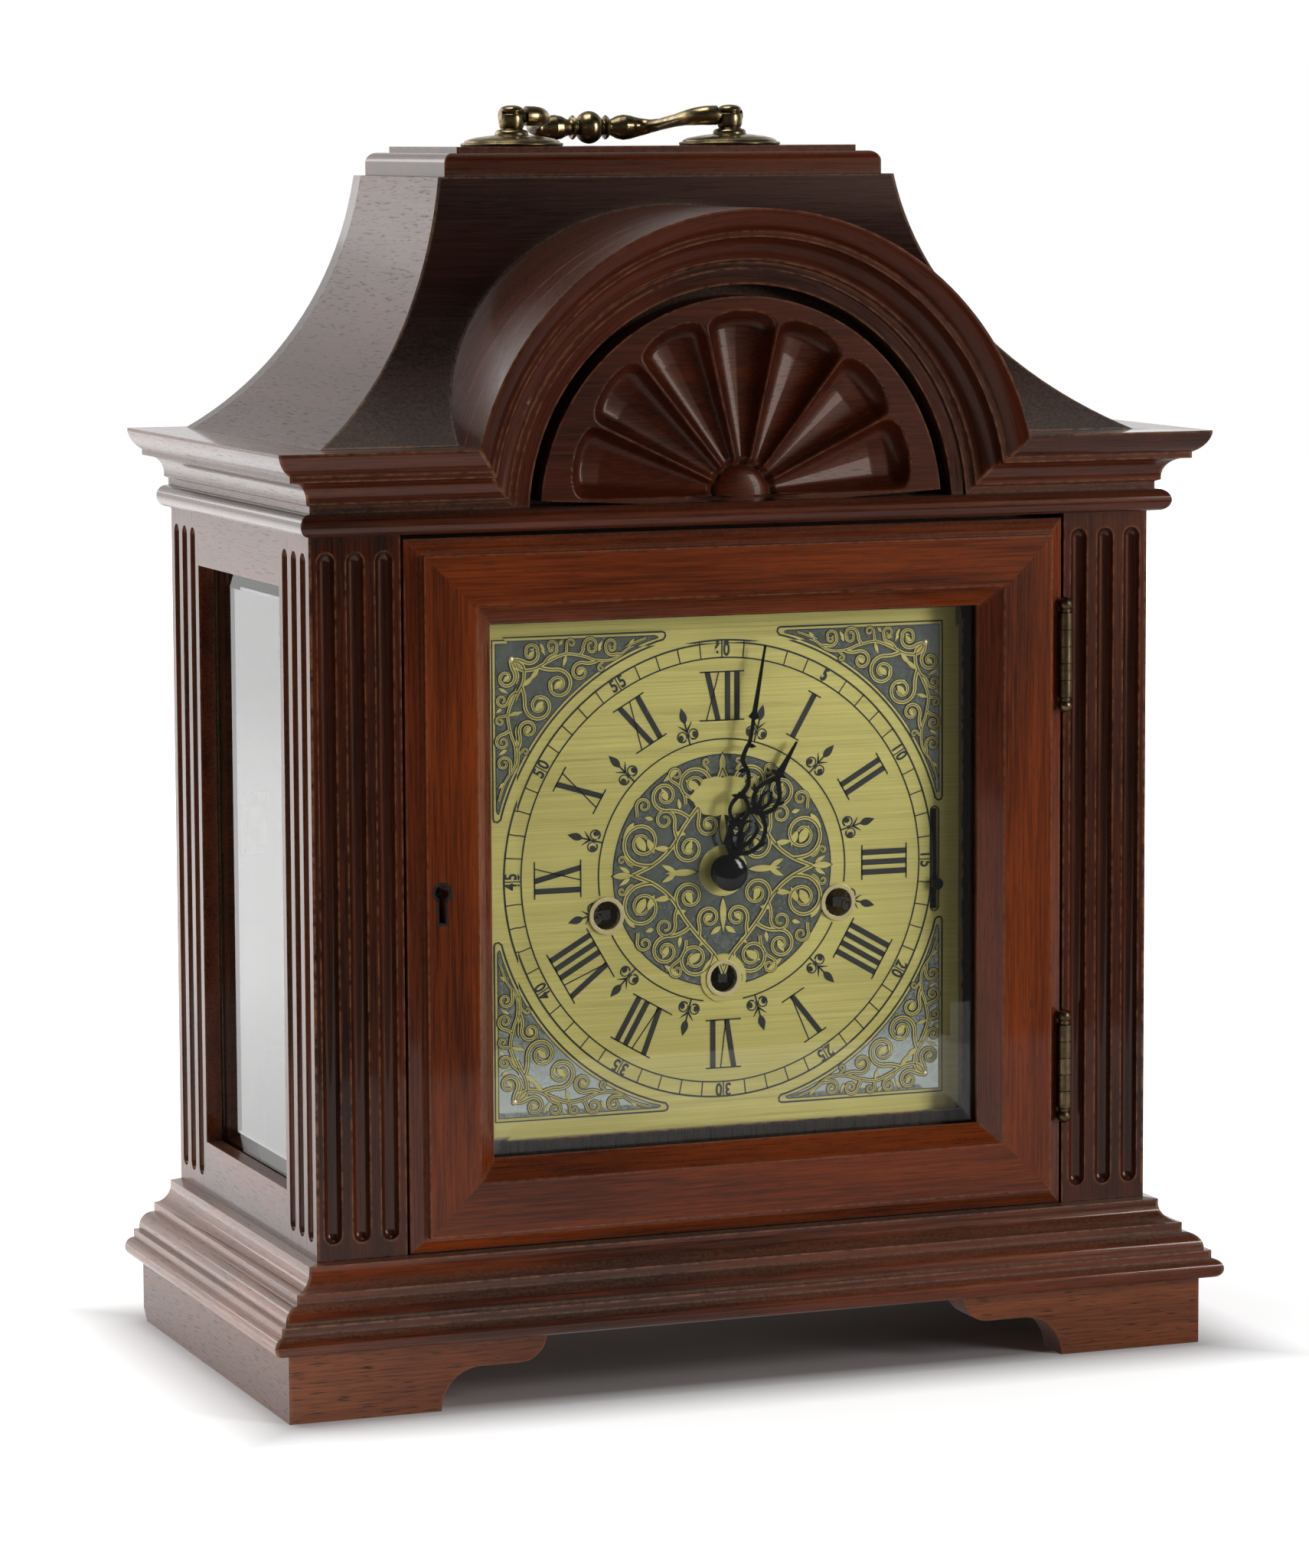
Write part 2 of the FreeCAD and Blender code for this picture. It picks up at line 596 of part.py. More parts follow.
def hood():
    """Bullnosed board, arched fascia, mitred cornice, arch moulding and carved tympanum."""
    bull = size.top_board_height / 2
    half = size.case_half + size.top_board_out
    front = size.hood_y - size.top_board_out
    board = Part.makeBox(2 * half, size.back_y - front, 2 * bull, vec(-half, front, size.case_top))
    long_edges = [e for e in board.Edges if on_rim(e, half, front)]
    subpart("top_board", shaped(board.makeFillet(bull - 0.01, long_edges)))

    z = size.board_top
    plane_y = size.hood_y
    half = size.case_half
    arch = arch_prism(size.arch_radius, plane_y, size.hood_board)
    fascia = Part.makeBox(2 * half, size.hood_board, size.cornice_height, vec(-half, plane_y, z))
    hole = arch_prism(size.arch_opening, plane_y - 1, size.hood_board + 2)
    fascia = fascia.fuse(arch).cut(hole)
    for hand in (-1, 1):
        fascia = fascia.cut(mitre_wedge(plane_y, hand, False))
    subpart("hood_fascia", shaped(fascia.removeSplitter()))

    run = size.bell_back_y - plane_y - size.hood_board
    block = arch_prism(size.arch_radius, plane_y + size.hood_board, run)
    subpart("arch_block", shaped(block.cut(bell_core_front())))

    tympanum = arch_prism(size.disc_radius, plane_y, size.hood_board)
    subpart("tympanum", shaped(tympanum.cut(petals(plane_y))))

    for hand, side in ((-1, "left"), (1, "right")):
        plane = side_plane(size.case_half, z, hand)
        wire = outline(
            plane(-size.rail_depth, 0), *cornice_steps(plane),
            plane(-size.rail_depth, size.cornice_height))
        run = size.back_y - plane_y + size.cornice_out + 1
        shape = prism(wire, vec(0, run, 0))
        shape.translate(vec(0, size.back_y - run, 0))
        subpart("cornice_" + side, shaped(shape.cut(mitre_wedge(plane_y, hand, True))))

    plane = front_plane(plane_y, z)
    wire = outline(plane(0, 0), *cornice_steps(plane), plane(0, size.cornice_height))
    arc_wire = outline(*[arch_point(p, plane_y, z) for p in profile_steps(plane)])
    ring = Part.Face(arc_wire).revolve(vec(0, 0, size.arch_z), vec(0, 1, 0), 360)
    zone = arch_zone()
    subpart("arch_moulding", shaped(ring.common(zone)))
    for hand, side in ((-1, "left"), (1, "right")):
        run = size.case_half + size.cornice_out + 1
        shape = prism(wire, vec(hand * run, 0, 0))
        shape = shape.cut(mitre_wedge(plane_y, hand, False))
        subpart("cornice_front_" + side, shaped(shape.cut(zone)))


def arch_zone():
    """The space over the curved mitres where the arch moulding meets the straight cornice."""
    foot = size.board_top

    def mitre(hand, up):
        radius = size.arch_radius - size.cornice_height + up
        x = math.sqrt(radius ** 2 - (size.arch_drop + up) ** 2)
        return vec(hand * x, size.hood_y - 60, foot + up)

    top = size.cornice_height
    far = vec(0, 0, 2 * size.arch_radius)
    wire = outline(
        mitre(-1, 0), (mitre(-1, top / 2), mitre(-1, top)), mitre(-1, top) + far,
        mitre(1, top) + far, mitre(1, top), (mitre(1, top / 2), mitre(1, 0)))
    return prism(wire, vec(0, 120, 0))


def on_rim(edge, half, front):
    """Front and side edges of the top board, not its back ones."""
    a, b = edge.Vertexes[0].Point, edge.Vertexes[-1].Point
    if abs(a.z - b.z) > 1e-6:
        return False
    along_front = abs(a.y - front) < 1e-6 and abs(b.y - front) < 1e-6
    along_side = abs(abs(a.x) - half) < 1e-6 and abs(a.x - b.x) < 1e-6
    return along_front or along_side


def profile_steps(plane):
    """The front cornice profile as a closed list of steps."""
    return [plane(0, 0)] + cornice_steps(plane) + [plane(0, size.cornice_height)]


def arch_point(step, plane_y, z):
    """Turn the cornice's height above its foot into a radius, its top on the arch's outside."""
    if isinstance(step, tuple):
        return tuple(arch_point(p, plane_y, z) for p in step)
    lift = size.arch_z + size.arch_radius - size.cornice_height - z
    return vec(step.x, step.y, step.z + lift)


def arch_prism(radius, y, deep):
    """A round-topped block standing on the top board, centred on the arch."""
    disc = Part.makeCylinder(radius, deep, vec(0, y, size.arch_z), vec(0, 1, 0))
    return disc.common(Part.makeBox(2 * radius, deep, 2 * radius, vec(-radius, y, size.board_top)))


def petals(y):
    """Seven hollows fanned over the half disc, leaving ribs between them and a hub."""
    count = 7
    rib = 2.6
    step = 180.0 / count
    reach = size.shell_radius
    half_wide = reach * math.tan(math.radians(step / 2)) - rib / 2
    dish = size.shell_dish
    round_radius = (half_wide ** 2 + dish ** 2) / (2 * dish)
    lift = round_radius - dish
    centre = vec(0, y, size.board_top)
    hollows = []
    for k in range(count):
        turn = math.radians(step * (k + 0.5))
        aim = vec(math.cos(turn) * reach, -lift, math.sin(turn) * reach)
        hollows.append(Part.makeCone(0, round_radius, aim.Length, centre, aim))
    hub = Part.makeSphere(size.shell_hub, centre)
    rim = Part.makeCylinder(reach, 60, vec(0, y - 40, size.board_top), vec(0, 1, 0))
    fan = hollows[0].fuse(hollows[1:])
    return fan.common(rim).cut(hub)


# ---- bell and top plate ----

def cove_wire(plane, inset):
    """The bell's section: a hollow outside, the same hollow moved inwards inside."""
    high = size.bell_height
    rise = size.bell_rise
    radius = size.bell_radius
    top = size.cove_top
    low = size.cove_low
    middle_up = high / 2
    middle = math.sqrt(radius ** 2 - (rise + high - middle_up) ** 2)
    return outline(
        plane(top - low, 0),
        (plane(top - middle, middle_up), plane(0, high)),
        plane(-inset, high),
        (plane(top - middle - inset, middle_up), plane(top - low - inset, 0)))


def bell():
    z = size.cornice_top
    y = size.bell_top_y
    board = size.bell_board
    long = 2 * (size.bell_low_half + 1)
    front = prism(cove_wire(lambda out, up: vec(0, y - out, z + up), board), vec(long, 0, 0))
    front.translate(vec(-long / 2, 0, 0))
    for hand in (-1, 1):
        front = front.cut(mitre_wedge(size.hood_y, hand, False))
    subpart("bell_front", shaped(front.cut(arch_prism(size.arch_radius, size.hood_y - 40, 400))))
    for hand, side in ((-1, "left"), (1, "right")):
        run = size.bell_back_y - size.face_y + 60
        half = size.bell_top_half
        shape = prism(cove_wire(lambda out, up: vec(hand * (half + out), 0, z + up), board), vec(0, run, 0))
        shape.translate(vec(0, size.bell_back_y - size.back_board - run, 0))
        subpart("bell_" + side, shaped(shape.cut(mitre_wedge(size.hood_y, hand, True))))
    back = bell_solid().common(Part.makeBox(
        400, size.back_board, 200, vec(-200, size.bell_back_y - size.back_board, z)))
    skirt = Part.makeBox(
        2 * (size.case_half - size.rail_depth), size.back_board, size.cornice_height,
        vec(-(size.case_half - size.rail_depth), size.bell_back_y - size.back_board, size.board_top))
    subpart("bell_back", shaped(back.fuse(skirt).removeSplitter()))

    half = size.bell_top_half - size.plate_inset
    front_y = y + size.plate_inset
    deep = size.bell_back_y - size.plate_inset - front_y
    step = size.plate_step
    ovolo = 3.4
    fillet = 2.0
    lower = Part.makeBox(2 * half, deep, size.plate_height - fillet, vec(-half, front_y, size.bell_top))
    rim = [e for e in lower.Edges if abs(e.BoundBox.ZMin - size.bell_top - size.plate_height + fillet) < 1e-6]
    lower = lower.makeFillet(ovolo, rim)
    upper = Part.makeBox(
        2 * (half - step), deep - 2 * step, size.plate_height,
        vec(-half + step, front_y + step, size.bell_top))
    subpart("top_plate", shaped(lower.fuse(upper).removeSplitter()))


def bell_solid():
    """The bell as one solid block, with its two hollow sides, over the full depth."""
    z = size.cornice_top
    half = size.bell_top_half
    spread = size.cove_top - size.cove_low
    middle_up = size.bell_height / 2
    middle = size.cove_top - math.sqrt(
        size.bell_radius ** 2 - (size.bell_rise + size.bell_height - middle_up) ** 2)
    wire = outline(
        vec(-half - spread, 0, z),
        (vec(-half - middle, 0, z + middle_up), vec(-half, 0, z + size.bell_height)),
        vec(half, 0, z + size.bell_height),
        (vec(half + middle, 0, z + middle_up), vec(half + spread, 0, z)))
    block = prism(wire, vec(0, size.case_depth + 100, 0))
    block.translate(vec(0, size.back_y - size.case_depth - 100, 0))
    return block


def bell_core_front():
    """Everything behind the bell front's inner face, above the cornice, and the box below it."""
    y = size.bell_top_y + size.bell_board
    z = size.cornice_top
    high = size.bell_height
    middle_up = high / 2
    reach = size.cove_top
    middle = reach - math.sqrt(size.bell_radius ** 2 - (size.bell_rise + high - middle_up) ** 2)
    wire = outline(
        vec(-200, y - size.bell_spread, z),
        (vec(-200, y - middle, z + middle_up), vec(-200, y, z + high)),
        vec(-200, y + 200, z + high), vec(-200, y + 200, size.board_top - 1),
        vec(-200, y - size.bell_spread, size.board_top - 1))
    return prism(wire, vec(400, 0, 0))


# ---- handle ----

def handle():
    """Two turned posts on stepped roses carry a swan-necked bail that folds flat either way."""
    mounts = []
    for hand in ("-1", "1"):
        x = hand + " * post_span"
        flange = rod("rose_radius", "rose_height * 0.42", (x, "handle_y", "plate_top"))
        dome = cone("rose_radius * 0.83", "rose_radius * 0.3", "rose_height * 0.58",
                    (x, "handle_y", "plate_top + rose_height * 0.42"))
        collar = rod("post_radius", "post_height * 0.22", (x, "handle_y", "rose_top"))
        barrel = rod("post_radius * 0.93", "post_height * 0.5",
                     (x, "handle_y", "rose_top + post_height * 0.22"))
        head = cone("post_radius * 0.93", "post_radius * 0.55", "post_height * 0.28",
                    (x, "handle_y", "rose_top + post_height * 0.72"))
        bore = rod("pin_radius + bearing", "post_radius * 2 + 2",
                   (x + " - post_radius - 1", "handle_y", "pivot_z"), "x")
        mounts.append(cut(fuse(flange, dome, collar, barrel, head), bore))
    subpart("handle_mounts", group(*mounts))

    drop = size.pivot_height + size.rose_height - size.knop_radius - size.fit
    fold = FreeCAD.Placement(
        vec(0, size.handle_y, size.pivot_z),
        FreeCAD.Rotation(vec(1, 0, 0), -math.degrees(math.asin(drop / size.bail_reach))))
    shape = bail()
    shape.Placement = fold
    subpart("handle_bail", shaped(shape))


def bail():
    """The bail lying level behind its pivots: a turned grip on two swan necks that end in pins."""
    reach = size.bail_reach
    inner = size.post_span - size.post_radius - size.fit
    grip = turned_grip(reach)
    pieces = []
    for hand in (-1, 1):
        route = [(15.0, reach), (23.0, reach), (27.0, 0), (inner - 2, 0)]
        path = rounded([vec(hand * x, y, 0) for x, y in route], 5.0)
        section = Part.Wire(Part.makeCircle(size.grip_radius * 0.5, path.Vertexes[0].Point, vec(hand, 0, 0)))
        neck = path.makePipeShell([section], True, False)
        boss = Part.makeCylinder(size.grip_radius * 0.76, 5.0, vec(hand * (inner - 5), 0, 0), vec(hand, 0, 0))
        pin = Part.makeCylinder(
            size.pin_radius, size.post_radius * 2 + size.fit + 3, vec(hand * (inner - 3), 0, 0), vec(hand, 0, 0))
        pieces += [neck, boss, pin]
    return grip.fuse(pieces)


def turned_grip(reach):
    """A ball between two rings, and a swelling out to each neck, turned about the grip's axis."""
    def p(x, radius):
        return vec(x, reach + radius, 0)
    full = size.grip_radius
    neck = full * 0.56
    ring = full * 0.88
    waist = full * 0.62
    half = [p(5.0, waist), p(5.4, waist), p(5.4, ring), p(7.6, ring), p(7.6, waist), p(8.2, waist),
            (p(14.0, full), p(19.5, neck)), p(19.5, 0)]
    mirrored = [p(-19.5, 0), p(-19.5, neck), (p(-14.0, full), p(-8.2, waist)), p(-7.6, waist), p(-7.6, ring),
                p(-5.4, ring), p(-5.4, waist), p(-5.0, waist)]
    knop = (p(0, size.knop_radius), half[0])
    wire = outline(mirrored[0], *mirrored[1:], knop, *half[1:])
    return Part.Face(wire).revolve(vec(0, reach, 0), vec(1, 0, 0), 360)


def rounded(points, radius):
    """A wire of straight runs with an arc of one radius at each inner point."""
    edges = []
    here = points[0]
    for before, at, after in zip(points, points[1:], points[2:]):
        back = (before - at).normalize()
        on = (after - at).normalize()
        half_turn = (math.pi - back.getAngle(on)) / 2
        reach = radius * math.tan(half_turn)
        bisector = (back + on).normalize()
        middle = at + bisector * (radius / math.cos(half_turn) - radius)
        first = at + back * reach
        last = at + on * reach
        edges.append(Part.LineSegment(here, first).toShape())
        edges.append(Part.Arc(first, middle, last).toShape())
        here = last
    edges.append(Part.LineSegment(here, points[-1]).toShape())
    return Part.Wire(edges)


# ---- front door ----

def rect_wire(half, low, high, y):
    return Part.makePolygon([vec(-half, y, low), vec(half, y, low), vec(half, y, high),
                             vec(-half, y, high), vec(-half, y, low)])


def front_door():
    """Mitred door: a raised field with a moulded edge, and a moulding that slopes to the glass."""
    edge = size.door_edge
    low = size.door_low
    top = size.door_top
    back = Part.makeBox(2 * size.door_half, size.door_back, top - low, vec(-size.door_half, size.face_y, low))
    step = 1.4
    lip_out = 1.8
    ovolo = Part.makeLoft([
        rect_wire(size.door_half, low, top, size.face_y),
        rect_wire(size.door_half - edge + step, low + edge - step, top - edge + step,
                  size.face_y - lip_out)], True, True)
    field_half = size.door_half - edge
    field = Part.makeBox(2 * field_half, size.door_proud, top - low - 2 * edge,
                         vec(-field_half, size.door_y, low + edge))
    door = back.fuse([ovolo, field])
    half = size.opening_half
    z1 = size.opening_z
    z2 = size.opening_top
    slope = size.opening_slope
    lip = 1.2
    flare = Part.makeLoft([
        rect_wire(half + slope, z1 - slope, z2 + slope, size.door_y),
        rect_wire(half, z1, z2, size.face_y + size.glass_back - lip)], True, True)
    flare = flare.fuse(Part.makeBox(2 * half + 2 * slope, 5, z2 - z1 + 2 * slope,
                                    vec(-half - slope, size.door_y - 5, z1 - slope)))
    through = Part.makeBox(2 * half, 60, z2 - z1, vec(-half, size.face_y - 20, z1))
    over = size.pane_rebate
    rebate = Part.makeBox(2 * (half + over), 60, z2 - z1 + 2 * over,
                          vec(-half - over, size.face_y + size.glass_back, z1 - over))
    lock_pocket, keyhole, bolt_way = lock_cuts()
    door = door.cut([flare, through, rebate, lock_pocket, keyhole, bolt_way])
    subpart("door_frame", shaped(door.removeSplitter()))

    gap = 0.2
    pane = bevelled(2 * (half + over - gap), z2 - z1 + 2 * (over - gap), size.pane, 12.0)
    pane.translate(vec(-half - over + gap, size.face_y + size.glass_back, z1 - over + gap))
    subpart("door_glass", shaped(pane))


def lock_cuts():
    """Pocket for the lock in the door's back, the keyhole in front and the bolt's way out."""
    x = -size.keyhole_x
    z = size.lock_z
    y = size.face_y
    half = 7.0
    tall = 12.0
    pocket = Part.makeBox(2 * half, 60, 2 * tall, vec(x - half, y + 4.5, z - tall))
    slot = Part.makeBox(2.2, 40, 9.5, vec(x - 1.1, y - 20, z - 6.5))
    eye = Part.makeCylinder(2.3, 40, vec(x, y - 20, z + 3.4), vec(0, 1, 0))
    way = Part.makeBox(20, 4.4, 8.4, vec(x - half - 19, y + 6.8, z - 4.2))
    return pocket, slot.fuse(eye), way


def door_lock():
    """A cut lock let into the door, and the bolt that slides out of the door's edge."""
    lock_x = "-keyhole_x"
    body = box((lock_x + " - 7", "face_y + 4.5", "lock_z - 12"),
               (lock_x + " + 7", "face_y + door_back", "lock_z + 12"))
    channel = box((lock_x + " - 8", "face_y + 6.8", "lock_z - 4.2"),
                  (lock_x + " + 5.6", "face_y + 11.2", "lock_z + 4.2"))
    slot = box((lock_x + " - 1.1", "face_y + 4", "lock_z - 6.5"),
               (lock_x + " + 1.1", "face_y + 8", "lock_z + 3"))
    eye = rod("2.3", "4", (lock_x, "face_y + 4", "lock_z + 3.4"), "y")
    subpart("door_lock", cut(body, channel, slot, eye))
    subpart("lock_bolt", box(
        ("-door_half + fit", "face_y + 7.1", "lock_z - 3.9"),
        (lock_x + " + 5.6 - fit", "face_y + 10.9", "lock_z + 3.9")))


def hinge_heights():
    low = size.base_top + size.hinge_from_end
    high = size.case_top - size.hinge_from_end
    return low, high


def block(x, y, z):
    """A box between pairs of limits, each pair in any order."""
    spans = [sorted(pair) for pair in (x, y, z)]
    return Part.makeBox(*[b - a for a, b in spans], vec(*[a for a, b in spans]))


def hinge_half(x, face, side, z, first, leaf_x, deep):
    """Every other knuckle of a hinge, webbed to a leaf that lies in the gap behind the face."""
    radius = size.hinge_radius
    count = 5
    long = size.hinge_length / count
    slack = 0.07
    y = face + side * (radius + size.hinge_lift)
    low = z - size.hinge_length / 2
    parts = [block(leaf_x, (face + side * 0.3, face - side * deep), (low, low + size.hinge_length))]
    for k in range(first, count, 2):
        knuckle_low = low + k * long + slack
        tall = long - 2 * slack
        tube = Part.makeCylinder(radius, tall, vec(x, y, knuckle_low))
        web = block(leaf_x, (y - side * 1.6, face), (knuckle_low, knuckle_low + tall))
        bore = Part.makeCylinder(pin_bore(), tall, vec(x, y, knuckle_low))
        parts.append(tube.fuse(web).cut(bore))
    return parts[0].fuse(parts[1:]).removeSplitter()


def pin_bore():
    return 1.2 + size.bearing


def ball_pin(x, y, z, ball_radius):
    """A hinge pin with a ball finial at each end."""
    half = size.hinge_length / 2
    pin = Part.makeCylinder(pin_bore() - size.bearing, 2 * half + 2, vec(x, y, z - half - 1))
    ends = []
    for hand in (-1, 1):
        foot = z + hand * (half + 0.65)
        ends.append(Part.makeCylinder(ball_radius * 0.8, 1.2, vec(x, y, foot - 0.6)))
        ends.append(Part.makeSphere(ball_radius, vec(x, y, foot + hand * (0.4 + ball_radius * 0.75))))
    return pin.fuse(ends)


def hinges():
    """Front butt hinges with ball finials, and plain ones at the back door."""
    radius = size.hinge_radius
    leaf = 0.42
    deep = 10.0
    door_side, case_side, back_side = [], [], []
    back_x = size.back_half + 0.35
    for z in hinge_heights():
        door_leaf = (size.door_half, size.door_half + leaf)
        case_leaf = (size.stile_inner - leaf, size.stile_inner)
        door_side.append(hinge_half(size.hinge_x, size.face_y, -1, z, 1, door_leaf, deep))
        case_side.append(hinge_half(size.hinge_x, size.face_y, -1, z, 0, case_leaf, deep))
        case_side.append(ball_pin(size.hinge_x, size.hinge_y, z, radius))
        back_leaf = (size.back_half, size.back_half + 0.3)
        frame_leaf = (size.back_half + 0.4, size.back_half + 0.7)
        back_side.append(hinge_half(back_x, size.back_y, 1, z, 1, back_leaf, size.back_board - 1))
        case_side.append(hinge_half(back_x, size.back_y, 1, z, 0, frame_leaf, size.back_board - 1))
        case_side.append(ball_pin(back_x, size.back_hinge_y, z, 1.3))
    subpart("door_hinge_leaves", shaped(Part.makeCompound(door_side)))
    subpart("case_hinge_leaves", shaped(Part.makeCompound(case_side)))
    return back_side


def back_door(hinge_leaves):
    """A flush board at the back, and the turn catch through it."""
    board = box(("-back_half", "back_y - back_board", "base_top + 1"),
                ("back_half", "back_y", "case_top - 1"))
    catch_x = "15 - back_half"
    hole = rod("3 + bearing", "20", (catch_x, "back_y - 14", "dial_z"), "y")
    subpart("back_door", group(cut(board, hole), *[shaped(leaf) for leaf in hinge_leaves]))
    shank = rod("3", "back_board + 2.6", (catch_x, "back_y - back_board - 2.2", "dial_z"), "y")
    knob = rod("7", "knob_height * 0.45", (catch_x, "back_y + knob_height * 0.05", "dial_z"), "y")
    grip = box((catch_x + " - 1.4", "back_y + 1", "dial_z - 6.5"),
               (catch_x + " + 1.4", "back_y + knob_height", "dial_z + 6.5"))
    tongue = box((catch_x + " - 4", "back_y - back_board - 2.2", "dial_z - 4"),
                 (catch_x + " + 4", "back_y - back_board - 0.2", "dial_z + 17"))
    subpart("back_door_catch", fuse(shank, knob, grip, tongue))


# ---- dial and hands ----

def dial():
    """Square dial plate with three winding holes, a lever slot and four feet behind."""
    plate = box(("-dial_half", "dial_y", "dial_z - dial_half"),
                ("dial_half", "dial_rear", "dial_z + dial_half"))
    feet = [rod("3", "dial_feet + 0.5", (x, "dial_rear - 0.5", "dial_z " + up), "y")
            for x in ("-52", "52") for up in ("- 55", "+ 38")]
    holes = [rod("collet_radius - 0.8", "8", (x, "dial_y - 3", z), "y") for x, z in winders()]
    holes.append(rod("3.9", "8", ("0", "dial_y - 3", "dial_z"), "y"))
    holes.append(box(("lever_x - 1.25", "dial_y - 3", "dial_z - lever_slot / 2"),
                     ("lever_x + 1.25", "dial_y + 5", "dial_z + lever_slot / 2")))
    subpart("dial_plate", cut(fuse(plate, *feet), *holes))
    rings = []
    for x, z in winders():
        rim = rod("collet_radius", "0.8", (x, "dial_y - 0.8", z), "y")
        tube = rod("collet_radius - 0.8", "dial_plate_thick + 0.4", (x, "dial_y - 0.4", z), "y")
        rings.append(cut(fuse(rim, tube), rod("winding_hole", "8", (x, "dial_y - 3", z), "y")))
    subpart("winding_collets", group(*rings))
    stem = box(("lever_x - 0.9", "dial_y - 2.4", "lever_z - 1.2"),
               ("lever_x + 0.9", "dial_rear + 0.3", "lever_z + 1.2"))
    head = rod("1.9", "1.6", ("lever_x", "dial_y - 3", "lever_z"), "y")
    slider = box(("lever_x - 3.5", "dial_rear + 0.1", "lever_z - 6"),
                 ("lever_x + 3.5", "dial_rear + 1.3", "lever_z + 6"))
    subpart("chime_lever", fuse(stem, head, slider))


def winders():
    return [("-winder_span", "side_winder_z"), ("winder_span", "side_winder_z"), ("0", "low_winder_z")]


def serpentine(length, wide, y, angle, hub, bore):
    """A hand: round hub, a blade that swells and waves to a point, turned to its hour."""
    def p(x, z):
        return vec(x, y, z)
    left = [p(-wide * 0.30, hub * 0.9), p(-wide * 0.55, length * 0.28), p(-wide * 0.20, length * 0.42),
            p(-wide * 0.62, length * 0.60), p(-wide * 0.16, length * 0.80)]
    right = [p(-q.x, q.z) for q in reversed(left)]
    points = left + [p(0, length)] + right + [left[0]]
    blade = prism(Part.makePolygon(points), vec(0, size.hand_thick, 0))
    disc = Part.makeCylinder(hub, size.hand_thick, p(0, 0), vec(0, 1, 0))
    hand = blade.fuse(disc).cut(Part.makeCylinder(bore, 9, p(0, 0) - vec(0, 4, 0), vec(0, 1, 0)))
    hand = hand.removeSplitter()
    hand.Placement = FreeCAD.Placement(
        vec(0, 0, size.dial_z), FreeCAD.Rotation(vec(0, 1, 0), angle))
    return hand


def hands():
    y = size.dial_y
    minute_y = y - 6.2
    hour_y = y - 4.0
    subpart("minute_hand", shaped(serpentine(size.minute_length, 5.0, minute_y, size.minute_angle, 5.2, 1.25)))
    subpart("hour_hand", shaped(serpentine(size.hour_length, 7.0, hour_y, size.hour_angle, 5.6, 3.25)))
    cap = rod("6", "1.2", ("0", "dial_y - 7.4", "dial_z"), "y")
    dome = cone("6", "3", "1.6", ("0", "dial_y - 7.4", "dial_z"), "y")
    dome.Placement.Rotation = FreeCAD.Rotation(vec(1, 0, 0), 90)
    bore = rod("1.25", "1.2", ("0", "dial_y - 7.4", "dial_z"), "y")
    subpart("hand_nut", cut(fuse(cap, dome), bore))


# ---- wheels ----

ADDENDUM = 0.7
DEDENDUM = 1.1
ROOT_SHARE = 0.45
TIP_SHARE = 0.80


def toothed(teeth, module, thick, at, hole=None, phase=0.0):
    """A wheel or pinion: a padded disc with tooth gaps cut in a polar pattern.

    teeth, module, thick and hole are expressions. A gap takes ROOT_SHARE of the pitch at
    its root and TIP_SHARE at the tips, and phase turns the wheel, in tooth pitches.
    """
    body = doc.addObject("PartDesign::Body", "toothed")
    flat = [f for f in body.Origin.OriginFeatures if f.Role == "XY_Plane"][0]
    blank = body.newObject("Sketcher::SketchObject", "blank")
    blank.AttachmentSupport = [(flat, "")]
    blank.MapMode = "FlatFace"
    blank.addGeometry(Part.Circle(vec(0, 0, 0), vec(0, 0, 1), 10), False)
    blank.addConstraint(Sketcher.Constraint("Coincident", 0, 3, -1, 1))
    rim = blank.addConstraint(Sketcher.Constraint("Radius", 0, 10))
    bind(blank, **{"Constraints[%d]" % rim: "(%s) * ((%s) / 2 + %s)" % (module, teeth, ADDENDUM)})
    pad = body.newObject("PartDesign::Pad", "disc")
    pad.Profile = blank
    bind(pad, Length=thick)
    doc.recompute()

    count = int(round(getattr(size, teeth)))
    scale = getattr(size, module)
    pitch = 2 * math.pi / count
    root = scale * (count / 2.0 - DEDENDUM)
    tip = scale * (count / 2.0 + ADDENDUM)
    clear = 0.3 * scale
    flare = (TIP_SHARE - ROOT_SHARE) / (tip - root)
    middle = phase * pitch

    def corner(radius, share, hand):
        turn = middle + hand * share * pitch / 2
        return vec(radius * math.cos(turn), radius * math.sin(turn), 0)

    gap = body.newObject("Sketcher::SketchObject", "gap")
    gap.AttachmentSupport = [(flat, "")]
    gap.MapMode = "FlatFace"
    wide = TIP_SHARE + flare * clear
    corners = [corner(root, ROOT_SHARE, -1), corner(root, ROOT_SHARE, 1),
               corner(tip + clear, wide, 1), corner(tip + clear, wide, -1)]
    for a, b in zip(corners, corners[1:] + corners[:1]):
        gap.addGeometry(Part.LineSegment(a, b), False)
    pocket = body.newObject("PartDesign::Pocket", "tooth_gap")
    pocket.Profile = gap
    pocket.Type = "ThroughAll"
    pocket.Midplane = True
    pattern = body.newObject("PartDesign::PolarPattern", "gaps")
    pattern.Originals = [pocket]
    pattern.Axis = (blank, ["N_Axis"])
    pattern.Angle = 360
    bind(pattern, Occurrences=teeth)
    body.Tip = pattern
    put(body, at, "y")
    if hole is None:
        return body
    return cut(body, rod(hole, "(%s) + 2" % thick, (at[0], "(%s) - 1" % at[1], at[2]), "y"))


def facing(teeth, from_x, from_z, to_x, to_z, on_tooth):
    """Tooth phase that turns a tooth, or a gap, of a wheel towards its mate's centre."""
    turn = math.atan2(-(to_z - from_z), to_x - from_x)
    return turn * teeth / (2 * math.pi) - (0.5 if on_tooth else 0.0)


